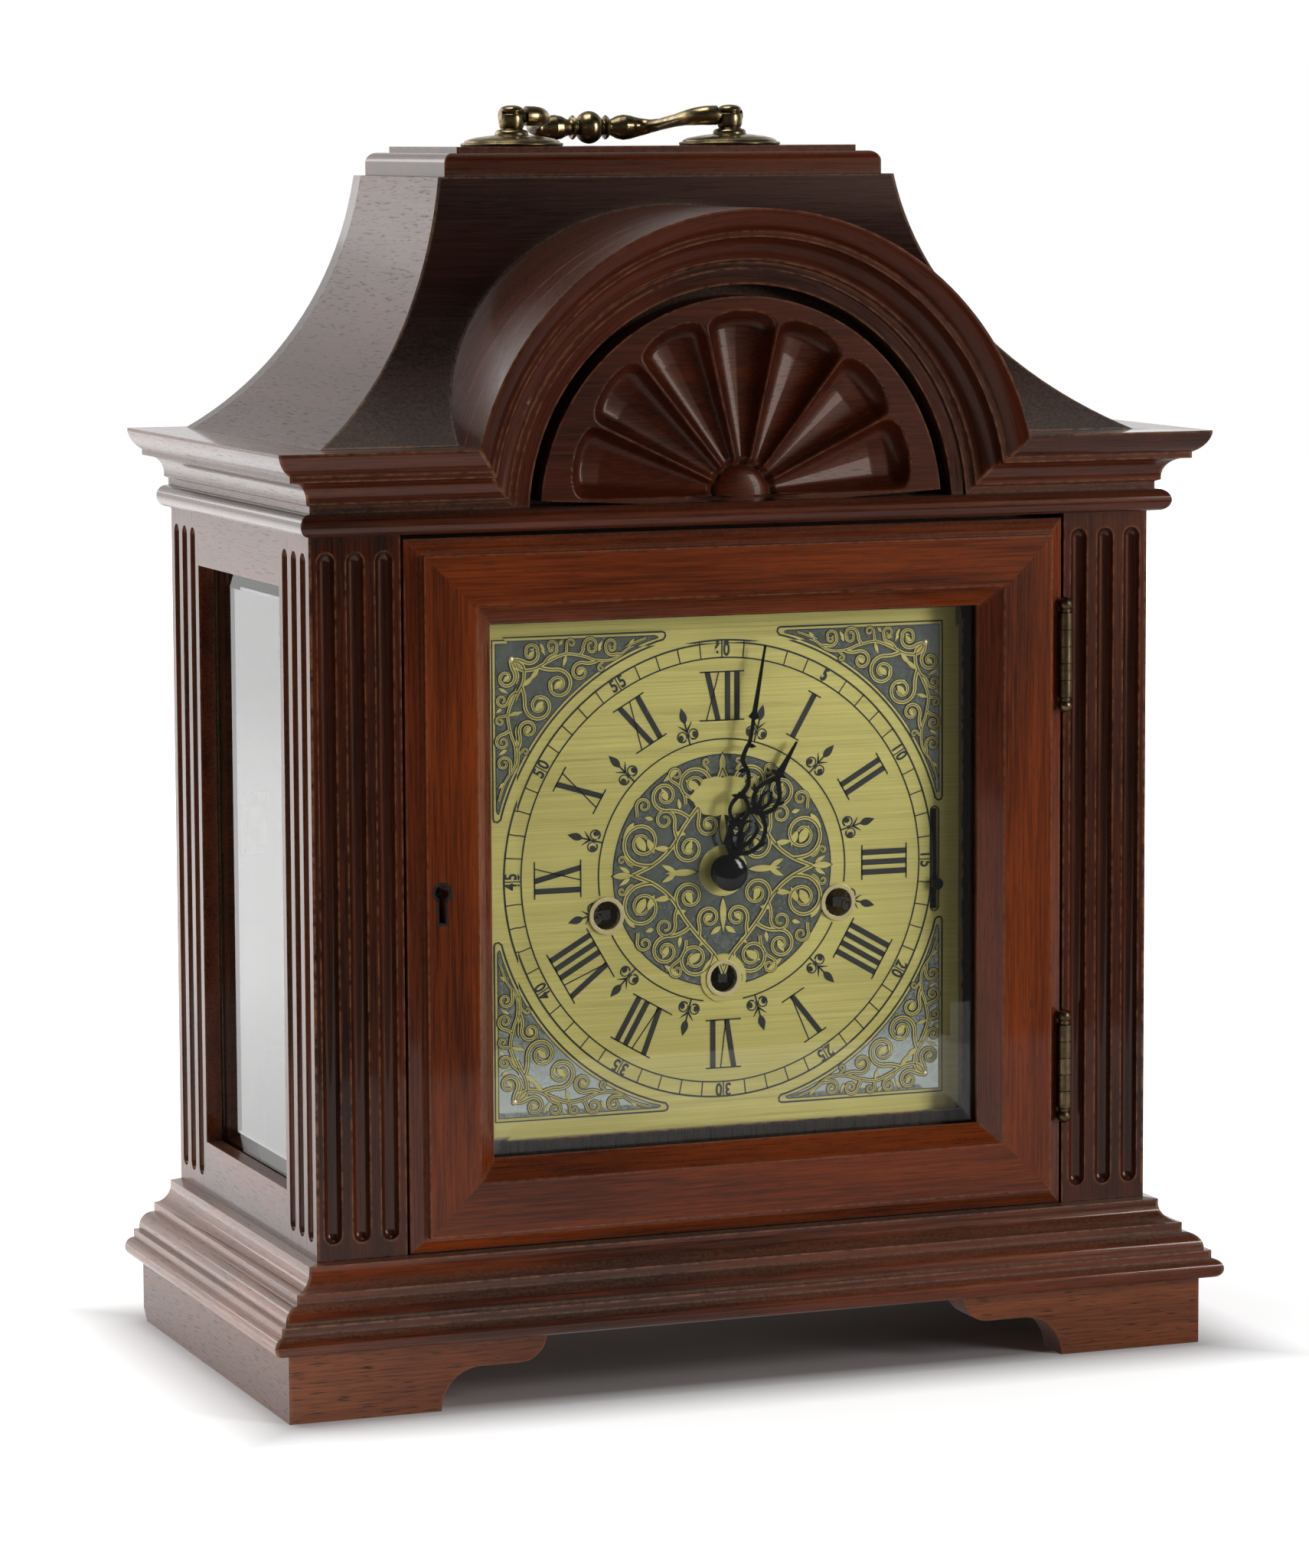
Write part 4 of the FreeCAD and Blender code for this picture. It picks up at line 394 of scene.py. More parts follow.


# dust sets both the dust and the painted sheen on faces turned up
def wood(name, lay, dark=DARK_RED, light=LIGHT_RED, wear=0.5, dust=0.3, gloss=0.20,
         pores=0.6, coat=0.5, inner_board=False):
    """A lacquered mahogany finish; lay turns a place on the clock into a grain vector, and
    inner_board blackens the board that stands behind the stiles, round the dial."""
    material, desk, shader = finish(
        name, light, Specular_IOR_Level=0.30, Specular_Tint=(1.0, 0.66, 0.52, 1),
        Coat_Weight=coat, Coat_Roughness=0.05)
    place = desk.place()
    grain = desk.group(GRAIN, {"Grain": lay(desk, place), "Dark": (*dark, 1), "Light": (*light, 1),
                               "Pores": pores})
    color = grain["Color"]
    if inner_board:
        x, y, z = desk.parts(place)
        board = desk.product(desk.math("GREATER_THAN", y, BOARD_Y),
                             desk.math("LESS_THAN", desk.math("ABSOLUTE", x), BOARD_HALF))
        color = desk.blend(board, color, BOARD_BLACK)
    aged = desk.group(AGE, {"Color": color, "Wear": wear, "Worn": WORN_RED, "Dust": dust})
    desk.put(shader.inputs["Base Color"], aged["Color"])
    rough = desk.math("ADD", grain["Roughness"], gloss)
    rough = desk.math("ADD", rough, desk.product(aged["Dull"], 0.5), True)
    desk.put(shader.inputs["Roughness"], rough)
    desk.relief(shader, grain["Height"], 0.12, 0.2 * MM, 0.5 * MM)
    return material


# ---- how the grain lies ----

def lay_x(desk, place):
    """Grain along the front."""
    return place


def lay_y(desk, place):
    """Grain along the sides."""
    x, y, z = desk.parts(place)
    return desk.joined(y, z, x)


def lay_z(desk, place):
    """Upright grain."""
    x, y, z = desk.parts(place)
    return desk.joined(z, x, y)


def lay_door(desk, place):
    """Rails along X and stiles along Z, meeting on the mitres."""
    x, y, z = desk.parts(place)
    high = desk.math("ABSOLUTE", desk.math("SUBTRACT", z, DOOR_MIDDLE_Z))
    from_side = desk.math("SUBTRACT", DOOR_HALF_WIDE, desk.math("ABSOLUTE", x))
    from_end = desk.math("SUBTRACT", DOOR_HALF_HIGH, high)
    stile = desk.math("LESS_THAN", from_side, from_end)
    shift = desk.product(desk.math("SIGN", x), 0.37)
    along_rail = desk.joined(x, desk.math("ADD", z, 0.2), y)
    along_stile = desk.joined(desk.math("ADD", z, shift), x, y)
    return desk.either(stile, along_rail, along_stile)


def lay_side(desk, place):
    """Stiles along Z at both ends, rails along Y between them."""
    x, y, z = desk.parts(place)
    middle = (FACE_Y + BACK_Y) / 2
    reach = desk.math("ABSOLUTE", desk.math("SUBTRACT", y, middle))
    stile = desk.math("GREATER_THAN", reach, (BACK_Y - FACE_Y) / 2 - SIDE_STILE)
    return desk.either(stile, desk.joined(y, z, x), desk.joined(z, y, x))


def lay_bell_side(desk, place):
    """Grain along the case, shifted with the distance from the middle as the bell draws in."""
    x, y, z = desk.parts(place)
    return desk.joined(y, desk.math("ADD", z, desk.math("ABSOLUTE", x)), x)


def lay_arch(desk, place):
    """Grain that follows the curve: the distance along the arch, then the radius."""
    middle_radius = 0.09
    x, y, z = desk.parts(place)
    up = desk.math("SUBTRACT", z, ARCH_FOOT_Z)
    turn = desk.math("ARCTAN2", up, x)
    radius = desk.math("SQRT", desk.math("ADD", desk.product(x, x), desk.product(up, up)))
    return desk.joined(desk.product(turn, middle_radius), radius, y)


# ---- metals, glass and print ----

def brushed_brass():
    """Dial brass brushed along X: fine streaks in tone, roughness and relief."""
    dark, light = (0.46, 0.40, 0.115), (0.66, 0.585, 0.19)
    material, desk, shader = finish("dial brass", light, 0.45)
    place = desk.place()
    streak = desk.noise(desk.scaled(place, (18, 400, 3200)), 1.0, 3.0)
    cloud = desk.noise(place, 24.0, 2.0)
    tone = desk.spread(desk.weighted(streak, 0.7, cloud, 0.3), 0.3, 0.7)
    desk.put(shader.inputs["Base Color"], desk.blend(tone, (*dark, 1), (*light, 1)))
    desk.put(shader.inputs["Roughness"], desk.spread(streak, 0.3, 0.7, 0.34, 0.50))
    desk.relief(shader, streak, 0.10, 0.1 * MM)
    return material


def patina(name, bright, dark, amount=0.5, roughness=0.30, metallic=1.0):
    """Worn metal: bright where it is rubbed, dark in hollows and in patches."""
    material, desk, shader = finish(name, bright, metallic)
    place = desk.place()
    open_sky = desk.add("AmbientOcclusion", {1: 4 * MM}, samples=6).outputs[1]
    hollow = desk.spread(open_sky, 0.9, 0.45)
    patch = desk.spread(desk.noise(place, 260.0, 4.0, 0.4), 0.40, 0.62)
    fine = desk.spread(desk.noise(place, 1500.0, 3.0), 0.40, 0.65)
    dirt = desk.weighted(patch, amount, hollow, 0.8, True)
    dirt = desk.math("ADD", dirt, desk.product(fine, amount * 0.3), True)
    desk.put(shader.inputs["Base Color"], desk.blend(dirt, (*bright, 1), (*dark, 1)))
    desk.put(shader.inputs["Roughness"], desk.spread(dirt, 0.0, 1.0, roughness, roughness + 0.22))
    desk.relief(shader, patch, 0.1, 0.1 * MM, 0.3 * MM)
    return material


def clear_glass():
    """Bevelled plate glass that lets light through to what stands behind it."""
    material, desk, shader = finish("plate glass", (0.985, 0.99, 0.985), roughness=0.0,
                                    Transmission_Weight=1.0, IOR=1.5)
    output = material.node_tree.nodes["Material Output"]
    clear = desk.add("BsdfTransparent", {0: (0.96, 0.97, 0.96, 1)})
    shadow = desk.add("LightPath").outputs["Is Shadow Ray"]
    mixed = desk.add("MixShader", {0: shadow, 1: shader.outputs[0], 2: clear.outputs[0]})
    desk.put(output.inputs["Surface"], mixed.outputs[0])
    return material


def fine_metal(name, color, roughness=0.3, metallic=1.0):
    """Plain machined metal with a faint grain."""
    material, desk, shader = finish(name, color, metallic, roughness)
    grain = desk.noise(desk.place(), 1200.0, 3.0)
    desk.put(shader.inputs["Roughness"], desk.spread(grain, 0.3, 0.7, roughness - 0.05, roughness + 0.08))
    return material


MATERIALS = {
    "moulding x": wood("moulding along the front", lay_x, dust=0.4, wear=0.8, coat=0.7),
    "moulding y": wood("moulding along the side", lay_y, dust=0.5, wear=0.7),
    "arch": wood("arch moulding", lay_arch, (0.016, 0.0028, 0.0010), (0.090, 0.0140, 0.0040),
                 wear=0.6, coat=0.10),
    "stile": wood("fluted stile", lay_z, (0.014, 0.0024, 0.0006), (0.105, 0.0165, 0.0034),
                  dust=0.15, wear=0.7, inner_board=True),
    "side": wood("side frame", lay_side, (0.040, 0.0085, 0.0030), (0.190, 0.040, 0.0120), dust=0.4),
    "door": wood("door", lay_door, (0.070, 0.0100, 0.0012), (0.290, 0.047, 0.0040),
                 wear=0.7, dust=0.25),
    "base x": wood("base moulding in front", lay_x, (0.046, 0.0085, 0.0024), (0.235, 0.044, 0.0100),
                   dust=0.8, wear=0.9, coat=0.7),
    # painted light: the base moulding's sides get a much lighter, warmer colour than its front, standing
    # in for the strong light from the left
    "base y": wood("base moulding at the side, painted lit", lay_y, (0.120, 0.034, 0.015), (0.430, 0.145, 0.065),
                   dust=0.8, coat=0.8),
    # painted light: the feet's colour is raised over the wood's own tone for the light on their fronts
    "plinth x": wood("plinth front, painted lit", lay_x, (0.120, 0.030, 0.011), (0.330, 0.094, 0.032),
                     dust=0.2, pores=0.95),
    "plinth y": wood("plinth side", lay_y, (0.085, 0.020, 0.006), (0.250, 0.068, 0.020),
                     dust=0.2, pores=0.9),
    "bell x": wood("bell front", lay_x, (0.014, 0.0050, 0.0045), (0.044, 0.015, 0.0110), dust=0.6),
    "bell y": wood("bell side", lay_bell_side, (0.036, 0.0110, 0.0070), (0.120, 0.040, 0.0260),
                   coat=0.10),
    "carved": wood("carved shell", lay_x, (0.020, 0.0032, 0.0012), (0.100, 0.0160, 0.0048),
                   dust=0.08, gloss=0.26, coat=0.12),
    "plain": wood("unpolished wood", lay_x, (0.06, 0.025, 0.012), (0.17, 0.085, 0.045),
                  wear=0.1, dust=0.1, gloss=0.5, coat=0.0),
    "glass": clear_glass(),
    "dial": brushed_brass(),
    "brass": patina("antique brass", (0.46, 0.35, 0.18), (0.060, 0.042, 0.024), 0.45, 0.20),
    "bronze": patina("hinge bronze", (0.24, 0.165, 0.090), (0.026, 0.018, 0.011), 0.5, 0.28),
    "collet": patina("collet brass", (0.95, 0.79, 0.42), (0.26, 0.19, 0.08), 0.10, 0.18, 0.5),
    "lock": patina("lock brass", (0.50, 0.37, 0.15), (0.06, 0.04, 0.02), 0.4, 0.35),
    "movement": fine_metal("movement brass", (0.62, 0.45, 0.16), 0.26),
    "steel": fine_metal("polished steel", (0.42, 0.42, 0.43), 0.25),
    # painted shade: near-black steel for the winding arbors and the keyhole band, standing in for the
    # shade inside their holes
    "dark steel": fine_metal("steel darkened as painted shade", (0.06, 0.055, 0.05), 0.30),
    "iron": fine_metal("painted iron", (0.03, 0.03, 0.032), 0.5, 0.3),
    "black": finish("gloss black", (0.004, 0.004, 0.005), roughness=0.06)[0],
    # black for the dial print, also used for the painted shadow plates under the fret
    "print": finish("dial print", (0.010, 0.010, 0.009), roughness=0.45)[0],
    "silver": fine_metal("fret backing", (0.60, 0.66, 0.62), 0.10, 0.95),
}

FINISH_OF = {
    "base x": ["base_moulding_front"],
    "base y": ["base_moulding_left", "base_moulding_right"],
    "moulding x": ["cornice_front_left", "cornice_front_right", "top_board", "top_plate"],
    "moulding y": ["cornice_left", "cornice_right"],
    "arch": ["arch_moulding", "hood_fascia", "arch_block"],
    "stile": ["front_frame"],
    "side": ["side_left", "side_right"],
    "door": ["door_frame"],
    "plinth x": ["bracket_left", "bracket_right"],
    "plinth y": ["plinth_left", "plinth_right"],
    "bell x": ["bell_front", "bell_back"],
    "bell y": ["bell_left", "bell_right"],
    "carved": ["tympanum"],
    "plain": ["base_board", "back_door", "seat_board"],
    "glass": ["door_glass", "side_glass_left", "side_glass_right"],
    "brass": ["handle_mounts", "handle_bail"],
    "bronze": ["door_hinge_leaves", "case_hinge_leaves"],
    "lock": ["door_lock", "back_door_catch"],
    "dial": ["dial_plate"],
    "collet": ["winding_collets"],
    "movement": ["front_plate", "back_plate", "going_barrel", "strike_and_chime_barrels",
                 "minute_wheel", "hour_wheel", "third_wheel", "escape_wheel", "centre_arbor",
                 "pendulum"],
    # painted shade: the arbors are near black for the shade inside the winding holes
    "dark steel": ["winding_arbor_going", "winding_arbor_strike", "winding_arbor_chime"],
    "steel": ["anchor", "hammers", "lock_bolt"],
    "black": ["minute_hand", "hour_hand", "hand_nut", "chime_lever"],
    "iron": ["chime_rods"],
}


def dress_nodes():
    """Give every CAD node its finish."""
    for finish_name, nodes in FINISH_OF.items():
        for node in nodes:
            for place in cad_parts[node].material_slots:
                place.material = MATERIALS[finish_name]


# ---- dial print ----

HOURS = "XII I II III IIII V VI VII VIII IX X XI".split()


def numeral(text):
    """An hour numeral between two long bars, of thick and thin strokes by turns."""
    high, thick, thin, space = 16.4, 1.9, 0.42, 1.4
    bar_high, overhang = 0.48, 1.6
    wide = {"I": thick, "V": 6.0, "X": 5.8}
    at = -(sum(wide[letter] for letter in text) + space * (len(text) - 1)) / 2
    left, right = at - overhang, overhang - at
    outlines = [[(left, low), (right, low), (right, low + bar_high), (left, low + bar_high)]
                for low in (0, high - bar_high)]
    for letter in text:
        middle = at + wide[letter] / 2
        reach = (wide[letter] - thick) / 2
        if letter == "I":
            outlines.append(slant(middle, middle, thick, high))
        if letter == "V":
            outlines.append(slant(middle + 0.5, middle - reach, thick, high))
            outlines.append(slant(middle + 0.7, middle + reach + 0.6, thin, high))
        if letter == "X":
            outlines.append(slant(middle + reach, middle - reach, thick, high))
            outlines.append(slant(middle - reach - 0.3, middle + reach + 0.3, thin, high))
        at += wide[letter] + space
    return [np.asarray(outline, float) for outline in outlines]


def slant(x_low, x_high, width, high):
    """One stroke of a letter, from its foot at x_low to its head at x_high."""
    half = width / 2
    return [(x_low - half, 0), (x_low + half, 0), (x_high + half, high), (x_high - half, high)]


def arc(radius, start, end):
    """Points every degree and a half round the dial."""
    count = max(8, int(abs(end - start) / 1.5))
    return polar(np.full(count, radius), np.linspace(start, end, count))


def leaf(foot, tip, wide):
    """A pointed oval from foot to tip, as one outline."""
    foot, tip = np.asarray(foot, float), np.asarray(tip, float)
    along = np.linspace(0, 1, 12)
    run = tip - foot
    across = np.array([-run[1], run[0]]) / (np.linalg.norm(run) + 1e-9)
    swell = wide * np.sin(np.pi * along ** 0.8) ** 1.1 / 2
    one = foot + along[:, None] * run + swell[:, None] * across
    other = foot + along[:, None] * run - swell[:, None] * across
    return np.concatenate([one, other[-2:0:-1]])


def disc(centre, radius, count, squash=1.0):
    """A circle or an oval of count points."""
    turn = np.linspace(0, 2 * np.pi, count, endpoint=False)
    x = centre[0] + radius * np.cos(turn)
    return np.stack([x, centre[1] + radius * squash * np.sin(turn)], -1)


def lily():
    """Half-hour mark: a stem, two curled loops with dark buds, two side leaves, a pointed leaf."""
    outlines = [leaf((0, 7.0), (0, 12.6), 2.5)]
    strokes = [([(0, -0.2), (0, 3.5), (0, 7.4)], 0.55)]
    for hand in (-1, 1):
        turn = np.linspace(-0.6, 1.75 * np.pi, 26)
        loop = np.stack([hand * (2.0 - 1.55 * np.cos(turn)), 3.1 + 1.65 * np.sin(turn)], -1)
        strokes.append((loop, np.linspace(0.34, 0.62, 26)))
        outlines.append(disc((hand * 2.45, 2.9), 0.85, 14, 1.25))
        strokes.append(([(0, 4.4), (hand * 1.0, 5.6), (hand * 2.4, 7.0)], np.array([0.7, 0.6, 0.15])))
    return strokes, outlines


def smooth(points, count):
    """A curve through every point: between two of them, a cubic of the four nearest."""
    p = np.asarray(points, float)
    p = np.concatenate([[2 * p[0] - p[1]], p, [2 * p[-1] - p[-2]]])
    t = np.linspace(0, len(p) - 3 - 1e-9, count)
    k = t.astype(int)
    f = (t - k)[:, None]
    a, b, c, d = p[k], p[k + 1], p[k + 2], p[k + 3]
    square, cube = 2 * a - 5 * b + 4 * c - d, 3 * b - a - 3 * c + d
    return 0.5 * (2 * b + (c - a) * f + square * f ** 2 + cube * f ** 3)


def dial_print():
    """Minute track, hour numerals, half-hour marks, inner circle, lever slot and panel edges. The
    inner circle breaks off round each winding hole."""
    parts = [ribbon(arc(radius, 0, 358.5), width, PRINT, closed=True)
             for radius, width in ((TRACK_OUTSIDE, 0.62), (TRACK_INSIDE, 0.5))]
    holes, gap = (107.2, 180.0, 252.8, 467.2), 9.2
    parts += [ribbon(arc(INNER_CIRCLE, one + gap, other - gap), 0.5, PRINT)
              for one, other in zip(holes, holes[1:])]
    for minute in range(60):
        tick = polar(np.array([TRACK_INSIDE, TRACK_OUTSIDE]), minute * 6.0)
        parts.append(ribbon(tick, 0.4, PRINT))
    for hour, text in enumerate(HOURS):
        parts.append(plate_of([turned_to(o, hour * 30.0, NUMERAL_FOOT) for o in numeral(text)], PRINT))
    strokes, outlines = lily()
    for hour in range(12):
        turn = hour * 30.0 + 15.0
        parts += [ribbon(turned_to(path, turn, INNER_CIRCLE), width, PRINT) for path, width in strokes]
        parts.append(plate_of([turned_to(o, turn, INNER_CIRCLE) for o in outlines], PRINT))
    turn = np.linspace(0, np.pi, 9)
    slot_x, half_long, half_wide = 75.75, 16.0, 1.5
    end = np.stack([half_wide * np.cos(turn), half_long + half_wide * np.sin(turn)], -1)
    slot = np.concatenate([end, -end]) + (slot_x, 0)
    parts.append(ribbon(slot, 0.45, PRINT, closed=True))
    for sides in CORNERS:
        parts.append(ribbon(spandrel_edge(0.0) * sides, 0.62, PRINT, closed=True))
    mesh_object("dial_print", *merged(parts), MATERIALS["print"], "case", smooth=False,
                slot="black_steel")


def minute_figures():
    """Figures 5 to 60 in the minute track, tops outward, split by their tick."""
    high, narrow, bolder, thick = 5.9 * MM, 0.78, 0.17 * MM, 0.03 * MM
    for minute in range(5, 65, 5):
        curve = bpy.data.curves.new("minute_%02d" % minute, "FONT")
        curve.body = str(minute)
        curve.align_x = "CENTER"
        curve.align_y = "CENTER"
        curve.size = high
        curve.space_character = 1.4
        curve.offset = bolder
        curve.extrude = thick
        text = bpy.data.objects.new(curve.name, curve)
        bpy.context.scene.collection.objects.link(text)
        x, z = polar((TRACK_INSIDE + TRACK_OUTSIDE) / 2, minute * 6.0) * MM
        place = Matrix.Translation((x, DIAL_Y - 0.08 * MM, DIAL_Z + z))
        upright = Matrix.Rotation(math.radians(90), 4, "X")
        turn = Matrix.Rotation(math.radians(minute * 6.0), 4, "Y") @ upright
        mesh = bpy.data.meshes.new_from_object(text)
        mesh.transform(place @ turn @ Matrix.Diagonal((narrow, 1, 1, 1)))
        bpy.data.objects.remove(text)
        piece = bpy.data.objects.new("minute_figure_%02d" % minute, mesh)
        bpy.context.scene.collection.objects.link(piece)
        mesh.materials.clear()
        mesh.materials.append(MATERIALS["print"])
        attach(piece, "case")


# ---- pierced fret on the dial ----

def spandrel_edge(inset):
    """Outline of one corner panel: two straight edges, round tips and an arc round the track."""
    edge = PANEL_EDGE - inset
    inner = 78.7 + inset
    tip = 19.6 + 2.2 * inset
    low = math.sqrt(inner ** 2 - (tip + 3.0) ** 2)
    start = math.degrees(math.atan2(tip + 3.0, low))
    curve = polar(np.full(50, inner), np.linspace(start, 90 - start, 50))
    nose = np.array([(tip + 1.2, edge), (tip + 0.25, edge - 0.35), (tip, (edge + low) / 2 + 0.1),
                     (tip + 0.8, low + 0.55)])
    return np.concatenate([[(edge, edge)], nose, curve, nose[::-1, ::-1]])


def curl(start, centre, radius, way, turns=1.25, width=1.25):
    """A tendril that leaves start and winds into a spiral round centre: path and widths."""
    start, centre = np.asarray(start, float), np.asarray(centre, float)
    away = start - centre
    first = math.atan2(away[1], away[0]) + way * 0.75
    turn = first + way * np.linspace(0, 2 * np.pi * turns, 34)
    reach = radius * (1 - 0.74 * np.linspace(0, 1, 34) ** 0.85)
    wound = centre + reach[:, None] * np.stack([np.cos(turn), np.sin(turn)], -1)
    ahead = way * np.array([-math.sin(first), math.cos(first)])
    bend = wound[0] - ahead * np.linalg.norm(start - wound[0]) * 0.55
    t = np.linspace(0, 1, 9)[:-1, None]
    lead = (1 - t) ** 2 * start + 2 * t * (1 - t) * bend + t ** 2 * wound[0]
    path = np.concatenate([lead, wound])
    return path, np.linspace(width, width * 0.62, len(path))


def corner_vines():
    """Stems, tendrils and leaves of one corner panel, measured from the panel's corner inwards."""
    stem = smooth([(6.3, 6.3), (8.8, 9.6), (13.5, 9.6), (18, 7.4), (24, 5.2), (30, 6.0),
                   (35, 7.6), (41, 7.3), (46, 4.0), (52, 1.8)], 70)
    arm = [(stem, np.linspace(1.3, 0.7, 70)),
           curl((6.3, 6.3), (12.2, 4.6), 3.3, -1, 1.3, 1.3),
           curl((17.0, 7.8), (19.4, 3.2), 2.2, -1, 1.2, 1.1),
           curl((24.0, 5.2), (26.2, 2.6), 1.6, 1, 1.1, 0.9),
           curl((29.0, 5.8), (33.0, 3.4), 2.5, 1, 1.3, 1.1),
           curl((43.5, 6.0), (40.0, 3.6), 2.5, 1, 1.3, 1.1),
           curl((15.2, 9.0), (21.6, 15.0), 5.0, 1, 1.5, 1.35),
           curl((35.0, 7.7), (29.2, 11.2), 3.2, -1, 1.35, 1.2),
           curl((37.0, 8.0), (36.4, 10.2), 1.2, -1, 1.0, 0.8)]
    leaves = [leaf((11.6, 5.8), (13.4, 3.6), 1.5), leaf((20.2, 16.4), (23.2, 13.4), 2.0),
              leaf((24.4, 5.6), (23.2, 9.4), 1.2), leaf((28.2, 12.0), (30.6, 10.4), 1.4),
              leaf((15.0, 9.6), (11.6, 13.4), 1.5), leaf((15.4, 2.0), (17.2, 5.4), 1.0),
              leaf((46.0, 4.0), (48.0, 1.7), 1.0), leaf((13.5, 18.4), (17.8, 19.6), 1.2),
              leaf((22.0, 3.0), (23.4, 1.2), 1.0), leaf((35.4, 4.8), (37.0, 1.8), 1.0)]
    swapped = [(path[:, ::-1], width) for path, width in arm]
    return arm + swapped, leaves + [o[:, ::-1] for o in leaves]


def centre_vines():
    """Stems, tendrils and leaves of a quarter of the centre disc."""
    ogee = smooth([(0, 34), (2.6, 28.4), (8.6, 21.5), (13.6, 15.2), (18, 8.4), (24.0, 3.4),
                   (31.5, 0)], 60)
    vines = [(ogee, np.full(60, 1.4)),
             curl((25.0, 2.9), (28.2, 10.6), 7.2, 1, 1.6, 1.45),
             curl((3.4, 27.4), (10.2, 28.6), 5.9, -1, 1.6, 1.4),
             curl((11.6, 17.8), (20.2, 25.6), 5.0, 1, 1.45, 1.35),
             curl((16.0, 11.6), (20.4, 17.6), 3.7, -1, 1.35, 1.25),
             curl((13.8, 15.0), (11.8, 8.0), 5.2, -1, 1.5, 1.35),
             curl((8.6, 21.5), (4.9, 15.4), 3.9, -1, 1.4, 1.3),
             curl((30.0, 19.0), (27.6, 22.6), 2.7, 1, 1.2, 1.1),
             curl((13.0, 22.4), (16.4, 32.4), 2.6, 1, 1.2, 1.1),
             curl((31.5, 3.0), (35.4, 5.0), 1.5, -1, 1.0, 0.9),
             curl((5.0, 33.0), (5.6, 36.0), 1.3, 1, 1.0, 0.9)]
    leaves = [leaf((27.2, 7.8), (30.6, 13.4), 3.0), leaf((26.4, 11.8), (24.0, 6.6), 2.1),
              leaf((8.0, 27.0), (13.2, 30.6), 2.6), leaf((19.4, 24.0), (21.4, 28.2), 2.2),
              leaf((12.8, 6.2), (10.8, 10.6), 2.2), leaf((18.4, 8.0), (24.4, 8.6), 1.9),
              leaf((3.8, 14.0), (6.6, 16.8), 1.7), leaf((0.8, 18.5), (4.6, 21.0), 1.8),
              leaf((16.6, 0.4), (21.6, 3.0), 1.7), leaf((32.6, 0.9), (36.4, 3.2), 1.4),
              leaf((20.8, 30.2), (15.0, 34.4), 1.6), leaf((31.0, 17.4), (35.0, 12.4), 1.8),
              leaf((13.0, 12.6), (17.4, 13.4), 1.4), leaf((24.4, 18.0), (27.4, 18.8), 1.4),
              leaf((15.0, 21.0), (15.6, 24.6), 1.3), leaf((6.2, 22.6), (8.6, 24.6), 1.2)]
    return vines, leaves


def backing_ring():
    """The centre's backing, whose rim bends in round the lowest winding hole: a ray from the middle
    meets the hole's edge at its distance down the ray, less half the chord there."""
    hole_radius, middle_radius = 5.9, 3.7
    turn = np.linspace(-180, 180, 721)[:-1]
    swing = np.radians(turn)
    inside = hole_radius ** 2 - (HOLE_DOWN * np.sin(swing)) ** 2
    to_hole = HOLE_DOWN * np.cos(swing) - np.sqrt(np.clip(inside, 0, None))
    facing = (inside > 0) & (np.abs(turn) < 30)
    rim = np.where(facing, np.minimum(CENTRE_EDGE, to_hole), CENTRE_EDGE)
    return band(polar(rim, turn + 180), polar(middle_radius, turn + 180), 0.04, 0.03, closed=True)


